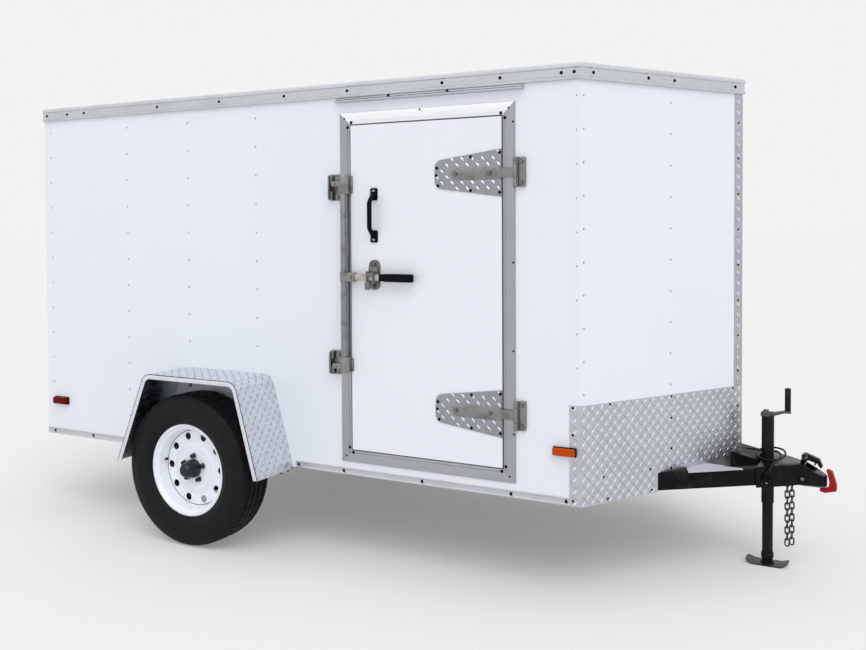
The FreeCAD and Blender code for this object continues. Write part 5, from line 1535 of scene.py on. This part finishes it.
class TRAILER_OT_wheels(bpy.types.Operator):
    """Add the grooved tyres, the wheel nuts, the rings of the rims and the valves"""

    bl_idname = "trailer.add_wheels"
    bl_label = "Wheels"

    def execute(self, context):
        for side, label in ((-1, "right"), (1, "left")):
            centre = Vector((AXLE.x, side * abs(AXLE.y), AXLE.z))
            self.add_tyre(centre, label)
            self.add_nuts(centre, side, label)
            self.add_rings(centre, side, label)
        return {"FINISHED"}

    def add_tyre(self, centre, label):
        """Tyre turned from its section, then cut with grooves across the shoulders."""
        radius = AXLE.z
        rings = [(-0.060, 0.1945), (-0.0705, 0.2036), (-0.0705, 0.209), (-0.080, 0.2115),
                 (-0.088, 0.218), (-0.094, 0.231), (-0.0985, 0.243), (-0.0998, 0.2455),
                 (-0.0994, 0.248), (-0.1018, 0.262), (-0.1015, 0.280), (-0.0985, 0.298),
                 (-0.0965, 0.3025), (-0.097, 0.305), (-0.0935, 0.317), (-0.0875, 0.330),
                 (-0.0815, 0.337), (-0.074, 0.3405), (-0.056, 0.3428), (-0.0545, 0.336),
                 (-0.0475, 0.336), (-0.046, 0.3434), (-0.022, 0.344), (-0.0205, 0.3368),
                 (-0.0135, 0.3368), (-0.012, 0.344)]
        section = rings + [(-w, r) for w, r in reversed(rings)]
        bm = bmesh.new()
        verts = [bm.verts.new((centre.x, centre.y + w, centre.z + r)) for w, r in section]
        edges = [bm.edges.new((a, b)) for a, b in zip(verts, verts[1:] + verts[:1])]
        steps = 120
        bmesh.ops.spin(bm, geom=verts + edges, cent=centre, axis=LEFT, angle=2 * math.pi,
                       steps=steps, use_merge=True, use_duplicate=False)
        bmesh.ops.remove_doubles(bm, verts=bm.verts, dist=1e-5)
        outward(bm)
        shoulder, centre_rib = [], []
        for face in bm.faces:
            middle = face.calc_center_median() - centre
            off = abs(middle.y)
            out = math.hypot(middle.x, middle.z)
            turn = math.floor(math.atan2(middle.z, middle.x) / (2 * math.pi) * steps + 0.5)
            if out > 0.3365 and 0.058 < off < 0.080 and turn % 2 == 0:
                shoulder.append(face)
            elif out > radius - 0.0012 and 0.022 < off < 0.046 and turn % 3 == 1:
                centre_rib.append(face)
        bmesh.ops.inset_region(bm, faces=shoulder, thickness=0.003, depth=-0.003,
                               use_even_offset=True, use_boundary=True)
        bmesh.ops.inset_region(bm, faces=centre_rib, thickness=0.0055, depth=-0.004,
                               use_even_offset=True, use_boundary=True)
        piece(bm, label + "_tyre_moulding", label + "_wheel", "tyre", (label + "_tyre",),
              smooth=40)

    def add_nuts(self, centre, side, label):
        """Five nuts on their seats, and the valve in the well of the rim."""
        out = LEFT * side
        face = out * 0.029
        nuts, seats = bmesh.new(), bmesh.new()
        nut = small_part("wheel_nut", lambda part: cone(part, 6, 0.0115, 0.0100, 0.002, 0.019))
        seat = small_part("nut_seat", lambda part: cone(part, 16, 0.0145, 0.0130, 0.0, 0.0035))
        count, stud_circle, first_stud = 5, 0.05715, 88
        for i in range(count):
            turn = math.radians(first_stud + 360 / count * i)
            place = centre + face + Vector((math.cos(turn), 0, math.sin(turn))) * stud_circle
            stamp(nuts, nut, facing(place, out))
            stamp(seats, seat, facing(place, out))
        valve = small_part("valve", lambda part: (cone(part, 12, 0.0065, 0.0055, 0.0, 0.008),
                                                  cone(part, 12, 0.0042, 0.0038, 0.008, 0.015)))
        stamp(nuts, valve, facing(centre + Vector((-0.171, side * 0.020, 0.022)), out))
        piece(nuts, label + "_wheel_nuts", label + "_wheel", "hub_black")
        piece(seats, label + "_nut_seats", label + "_wheel", "bare_steel")

    def add_rings(self, centre, side, label):
        """Lips of the holes and the pressed ring inside the disc; a painted shadow line round the
        disc's edge, and two painted highlight lines on the hub cap's steps.
        """
        out = LEFT * side
        white, dark = bmesh.new(), bmesh.new()
        count, hole_circle, disc_face = 10, 0.147, 0.0150
        for i in range(count):
            turn = math.radians(360 / count * i)
            hole = Vector((math.cos(turn), 0, math.sin(turn))) * hole_circle
            ring(white, centre + out * disc_face + hole, out, 0.0182, 0.0016, 24)
        ring(white, centre + out * 0.0288, out, 0.0975, 0.0022)
        # Painted shadow: a dark line round the white disc's edge. Painted highlights: two grey
        # lines on the black hub cap's steps.
        ring(dark, centre + out * 0.0148, out, 0.1712, 0.0013, 72)
        ring(dark, centre + out * 0.0985, out, 0.0185, 0.0013, 32)
        ring(dark, centre + out * 0.0500, out, 0.0410, 0.0013, 32)
        piece(white, label + "_rim_rings", label + "_wheel", "rim_white")
        piece(dark, label + "_rim_lines", label + "_wheel", "rim_shadow")


# ---------------------------------------------------------------- lamps

class TRAILER_OT_lamps(bpy.types.Operator):
    """Add the marker lamps' bases and ribbed lenses, and the tail lamps' rims"""

    bl_idname = "trailer.add_lamps"
    bl_label = "Lamps"

    def execute(self, context):
        base, amber, red = bmesh.new(), bmesh.new(), bmesh.new()
        base_thick, sunk, rim = 0.006, 0.002, 0.003
        for side in SIDES:
            for bm, x0, x1, z0, z1, back, reach in (
                    (amber, -0.110, -0.014, 0.556, 0.592, 0.0025, 0.026),
                    (red, -2.898, -2.794, 0.524, 0.564, 0.0, 0.024)):
                inner = SKIN_Y + back
                y0, y1 = sorted((side * inner, side * (inner + base_thick)))
                block(base, spot(x0, y0, z0), spot(x1, y1, z1), 0.003)
                y0, y1 = sorted((side * (inner + base_thick - sunk),
                                 side * (SKIN_Y + reach - 0.001)))
                block(bm, spot(x0 + rim, y0, z0 + rim), spot(x1 - rim, y1, z1 - rim), 0.0055, 3)
        header_reach, half_long, header_low, header_high = 0.0215, 0.046, 1.979, 2.009
        for y in (-0.70, -0.20, 0.0, 0.20, 0.70):
            block(red, (REAR_X - header_reach, y - half_long, header_low),
                  (REAR_X, y + half_long, header_high), 0.005, 3)
        low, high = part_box("tail_lamps")
        middle = (low.z + high.z) / 2
        tall = high.z - low.z
        rims = bmesh.new()
        for side in SIDES:
            place = Vector((REAR_X, side * (high.y - 0.082), middle))
            plate(rims, facing(place, -AHEAD), 0.164, tall, 0.006, tall / 2 - 0.001, 0.0015)
            plate(red, facing(place, -AHEAD), 0.148, tall - 0.016, 0.016, tall / 2 - 0.009, 0.004)
        piece(base, "marker_bases", "trailer", "black_plastic")
        piece(rims, "tail_lamp_rims", "trailer", "black_plastic")
        piece(amber, "amber_lenses", "trailer", "amber_lens", ("amber_marker_lamps",))
        piece(red, "red_lenses", "trailer", "red_lens", ("red_marker_lamps", "tail_lamps"))
        return {"FINISHED"}


# ---------------------------------------------------------------- tongue

class TRAILER_OT_tongue(bpy.types.Operator):
    """Ease the tongue rails, coupler, latch and lock, and add the crank, the jack's leg and foot, a
    label plate and bolts
    """

    bl_idname = "trailer.add_tongue"
    bl_label = "Tongue, coupler and jack"

    def execute(self, context):
        eased("tongue_rails", "frame_black", width=0.003)
        eased("coupler", "coupler_black", width=0.0025)
        eased("coupler_latch", "coupler_black", width=0.0022)
        eased("coupler_lock", "lock_red", width=0.0035)
        self.add_plates()
        self.add_crank()
        self.add_foot()
        self.add_coupler_parts()
        return {"FINISHED"}

    def add_plates(self):
        """Blank label plate lying on the near gusset."""
        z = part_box("tongue_rails")[1].z + 0.004
        outline = [(0.286, -0.292), (0.3385, -0.1795), (0.4206, -0.189), (0.42, -0.20),
                   (0.491, -0.1985), (0.50, -0.22), (0.3147, -0.3748)]
        bm = bmesh.new()
        prism(bm, [spot(x, y, z) for x, y in outline], Vector((0, 0, 0.0008)))
        outward(bm)
        piece(bm, "blank_label_plate", "trailer", "label_silver")

    def add_crank(self):
        """Nut and washer on the screw, cranked arm and the round grip."""
        low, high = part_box("jack_crank")
        tube_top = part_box("jack_tube")[1].z
        screw_x = low.x + 0.018
        grip_x = high.x - 0.0135
        washer, boss, grip_low = 0.004, 0.018, 0.0262
        bm, grip = bmesh.new(), bmesh.new()
        centre = Vector((screw_x, 0, tube_top))
        barrel(bm, centre, centre + UP * washer, 0.024, 28)
        barrel(bm, centre + UP * washer, centre + UP * boss, 0.013, 20)
        block(bm, (screw_x - 0.020, -0.011, tube_top + 0.006),
              (screw_x + 0.016, 0.011, tube_top + 0.016), 0.003)
        nut = bmesh.new()
        cone(nut, 6, 0.0125, 0.0115, 0.0, 0.009)
        join(bm, nut, facing(centre + UP * 0.016, UP, AHEAD))
        side = [(screw_x - 0.004, 0.0035), (screw_x + 0.040, 0.0035), (grip_x - 0.014, 0.0155),
                (grip_x + 0.013, 0.0165), (grip_x + 0.013, 0.0255), (grip_x - 0.018, 0.0255),
                (screw_x + 0.036, 0.0175), (screw_x - 0.004, 0.0175)]
        arm = bmesh.new()
        prism(arm, [Vector((x, -0.010, tube_top + z)) for x, z in side], LEFT * 0.020)
        bmesh.ops.bevel(arm, geom=arm.edges[:], offset=0.0014, segments=2, affect="EDGES",
                        profile=0.5, material=-1)
        outward(arm)
        join(bm, arm)
        barrel(grip, Vector((grip_x, 0, tube_top + grip_low)), Vector((grip_x, 0, high.z)),
               0.0125, 24, 0.003)
        piece(bm, "crank_arm", "trailer", "crank_grey", ("jack_crank",))
        piece(grip, "crank_grip", "trailer", "jack_black", ("jack_crank",))

    def add_foot(self):
        """Leg, its collar, and the pressed foot with round corners and turned-up ends."""
        low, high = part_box("jack_leg")
        axis = Vector(((low.x + high.x) / 2, 0, 0))
        leg, foot = bmesh.new(), bmesh.new()
        # The tube, its collar and the weld on the foot, as (bottom, top, radius, ease).
        for bottom, top, radius, ease in ((0.006, high.z, 0.022, 0.0008),
                                          (0.026, 0.050, 0.0255, 0.002),
                                          (0.006, 0.012, 0.028, 0.002)):
            barrel(leg, axis + UP * bottom, axis + UP * top, radius, 32, ease)
        half_long, half_wide, corner, thick = 0.086, 0.045, 0.022, 0.0045
        flat, turn_up = 0.052, 0.014
        rows = []
        count = 28
        for i in range(count + 1):
            x = -half_long + 2 * half_long * i / count
            past = max(0.0, abs(x) - (half_long - corner))
            wide = half_wide - corner + math.sqrt(max(0.0, corner ** 2 - past ** 2))
            lift = turn_up * (max(0.0, abs(x) - flat) / (half_long - flat)) ** 1.5
            rows.append([foot.verts.new(axis + Vector((x, y, lift + z)))
                         for y, z in ((-wide, 0.0), (wide, 0.0), (wide, thick), (-wide, thick))])
        for a, b in zip(rows, rows[1:]):
            for k in range(4):
                foot.faces.new((a[k], a[(k + 1) % 4], b[(k + 1) % 4], b[k]))
        foot.faces.new(rows[0][::-1])
        foot.faces.new(rows[-1])
        outward(foot)
        piece(leg, "jack_inner_leg", "jack_leg", "jack_black", ("jack_leg",))
        piece(foot, "jack_foot", "jack_leg", "foot_grey", ("jack_leg",))

    def add_coupler_parts(self):
        """Bolts through the coupler's sides, a grey strip along its lower flange as a painted
        highlight, and the latch's spring clip.
        """
        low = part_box("coupler")[0]
        bolts, flange = bmesh.new(), bmesh.new()
        bolt = small_part("coupler_bolt", lambda part: cone(part, 6, 0.0085, 0.0078, 0.0, 0.005))
        for side in SIDES:
            out = LEFT * side
            stamp(bolts, bolt, facing(spot(0.704, side * 0.0455, 0.390), out))
            # Painted highlight: a grey strip along the black coupler's lower flange.
            y0, y1 = sorted((side * 0.036, side * 0.0475))
            block(flange, spot(0.688, y0, low.z), spot(0.776, y1, low.z + 0.004), 0.001, 1)
        latch_low, latch_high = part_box("coupler_latch")
        pivot = spot(0.714, 0, 0.474)
        barrel(bolts, pivot - LEFT * 0.019, pivot + LEFT * 0.019, 0.0045, 14)
        ring(bolts, spot(0.708, -0.018, 0.478), LEFT, 0.011, 0.0016, 24)
        clip = Vector((latch_high.x - 0.030, 0, latch_low.z + 0.016))
        barrel(bolts, clip - LEFT * 0.017, clip + LEFT * 0.017, 0.004, 14)
        piece(bolts, "coupler_bolts", "trailer", "keeper_zinc")
        piece(flange, "coupler_flange", "trailer", "crank_grey")


# ---------------------------------------------------------------- panel and registration

OPERATORS = (TRAILER_OT_finishes, TRAILER_OT_stage, TRAILER_OT_wiring, TRAILER_OT_body_panels,
             TRAILER_OT_roof_trim, TRAILER_OT_side_door, TRAILER_OT_side_hinges,
             TRAILER_OT_door_fittings, TRAILER_OT_stone_guard, TRAILER_OT_fenders,
             TRAILER_OT_wheels, TRAILER_OT_lamps, TRAILER_OT_tongue)
SETTINGS = (TrailerSizes, TrailerColours, TrailerStage)


class TRAILER_PT_panel(bpy.types.Panel):
    """Trailer pieces, sizes and colours"""

    bl_idname = "TRAILER_PT_panel"
    bl_label = "Trailer"
    bl_space_type = "VIEW_3D"
    bl_region_type = "UI"
    bl_category = "Trailer"

    def draw(self, context):
        layout = self.layout
        for operator in OPERATORS:
            layout.operator(operator.bl_idname)
        for group in (context.scene.trailer_sizes, context.scene.trailer_colours,
                      context.scene.trailer_stage):
            box = layout.box()
            for name in group.bl_rna.properties.keys():
                if name not in ("rna_type", "name"):
                    box.prop(group, name)


def register():
    for cls in SETTINGS + OPERATORS + (TRAILER_PT_panel,):
        bpy.utils.register_class(cls)
    bpy.types.Scene.trailer_sizes = bpy.props.PointerProperty(type=TrailerSizes)
    bpy.types.Scene.trailer_colours = bpy.props.PointerProperty(type=TrailerColours)
    bpy.types.Scene.trailer_stage = bpy.props.PointerProperty(type=TrailerStage)


def unregister():
    del bpy.types.Scene.trailer_stage
    del bpy.types.Scene.trailer_colours
    del bpy.types.Scene.trailer_sizes
    for cls in reversed(SETTINGS + OPERATORS + (TRAILER_PT_panel,)):
        bpy.utils.unregister_class(cls)


def main():
    register()
    for operator in OPERATORS:
        group, name = operator.bl_idname.split(".")
        getattr(getattr(bpy.ops, group), name)()


if __name__ == "__main__":
    main()
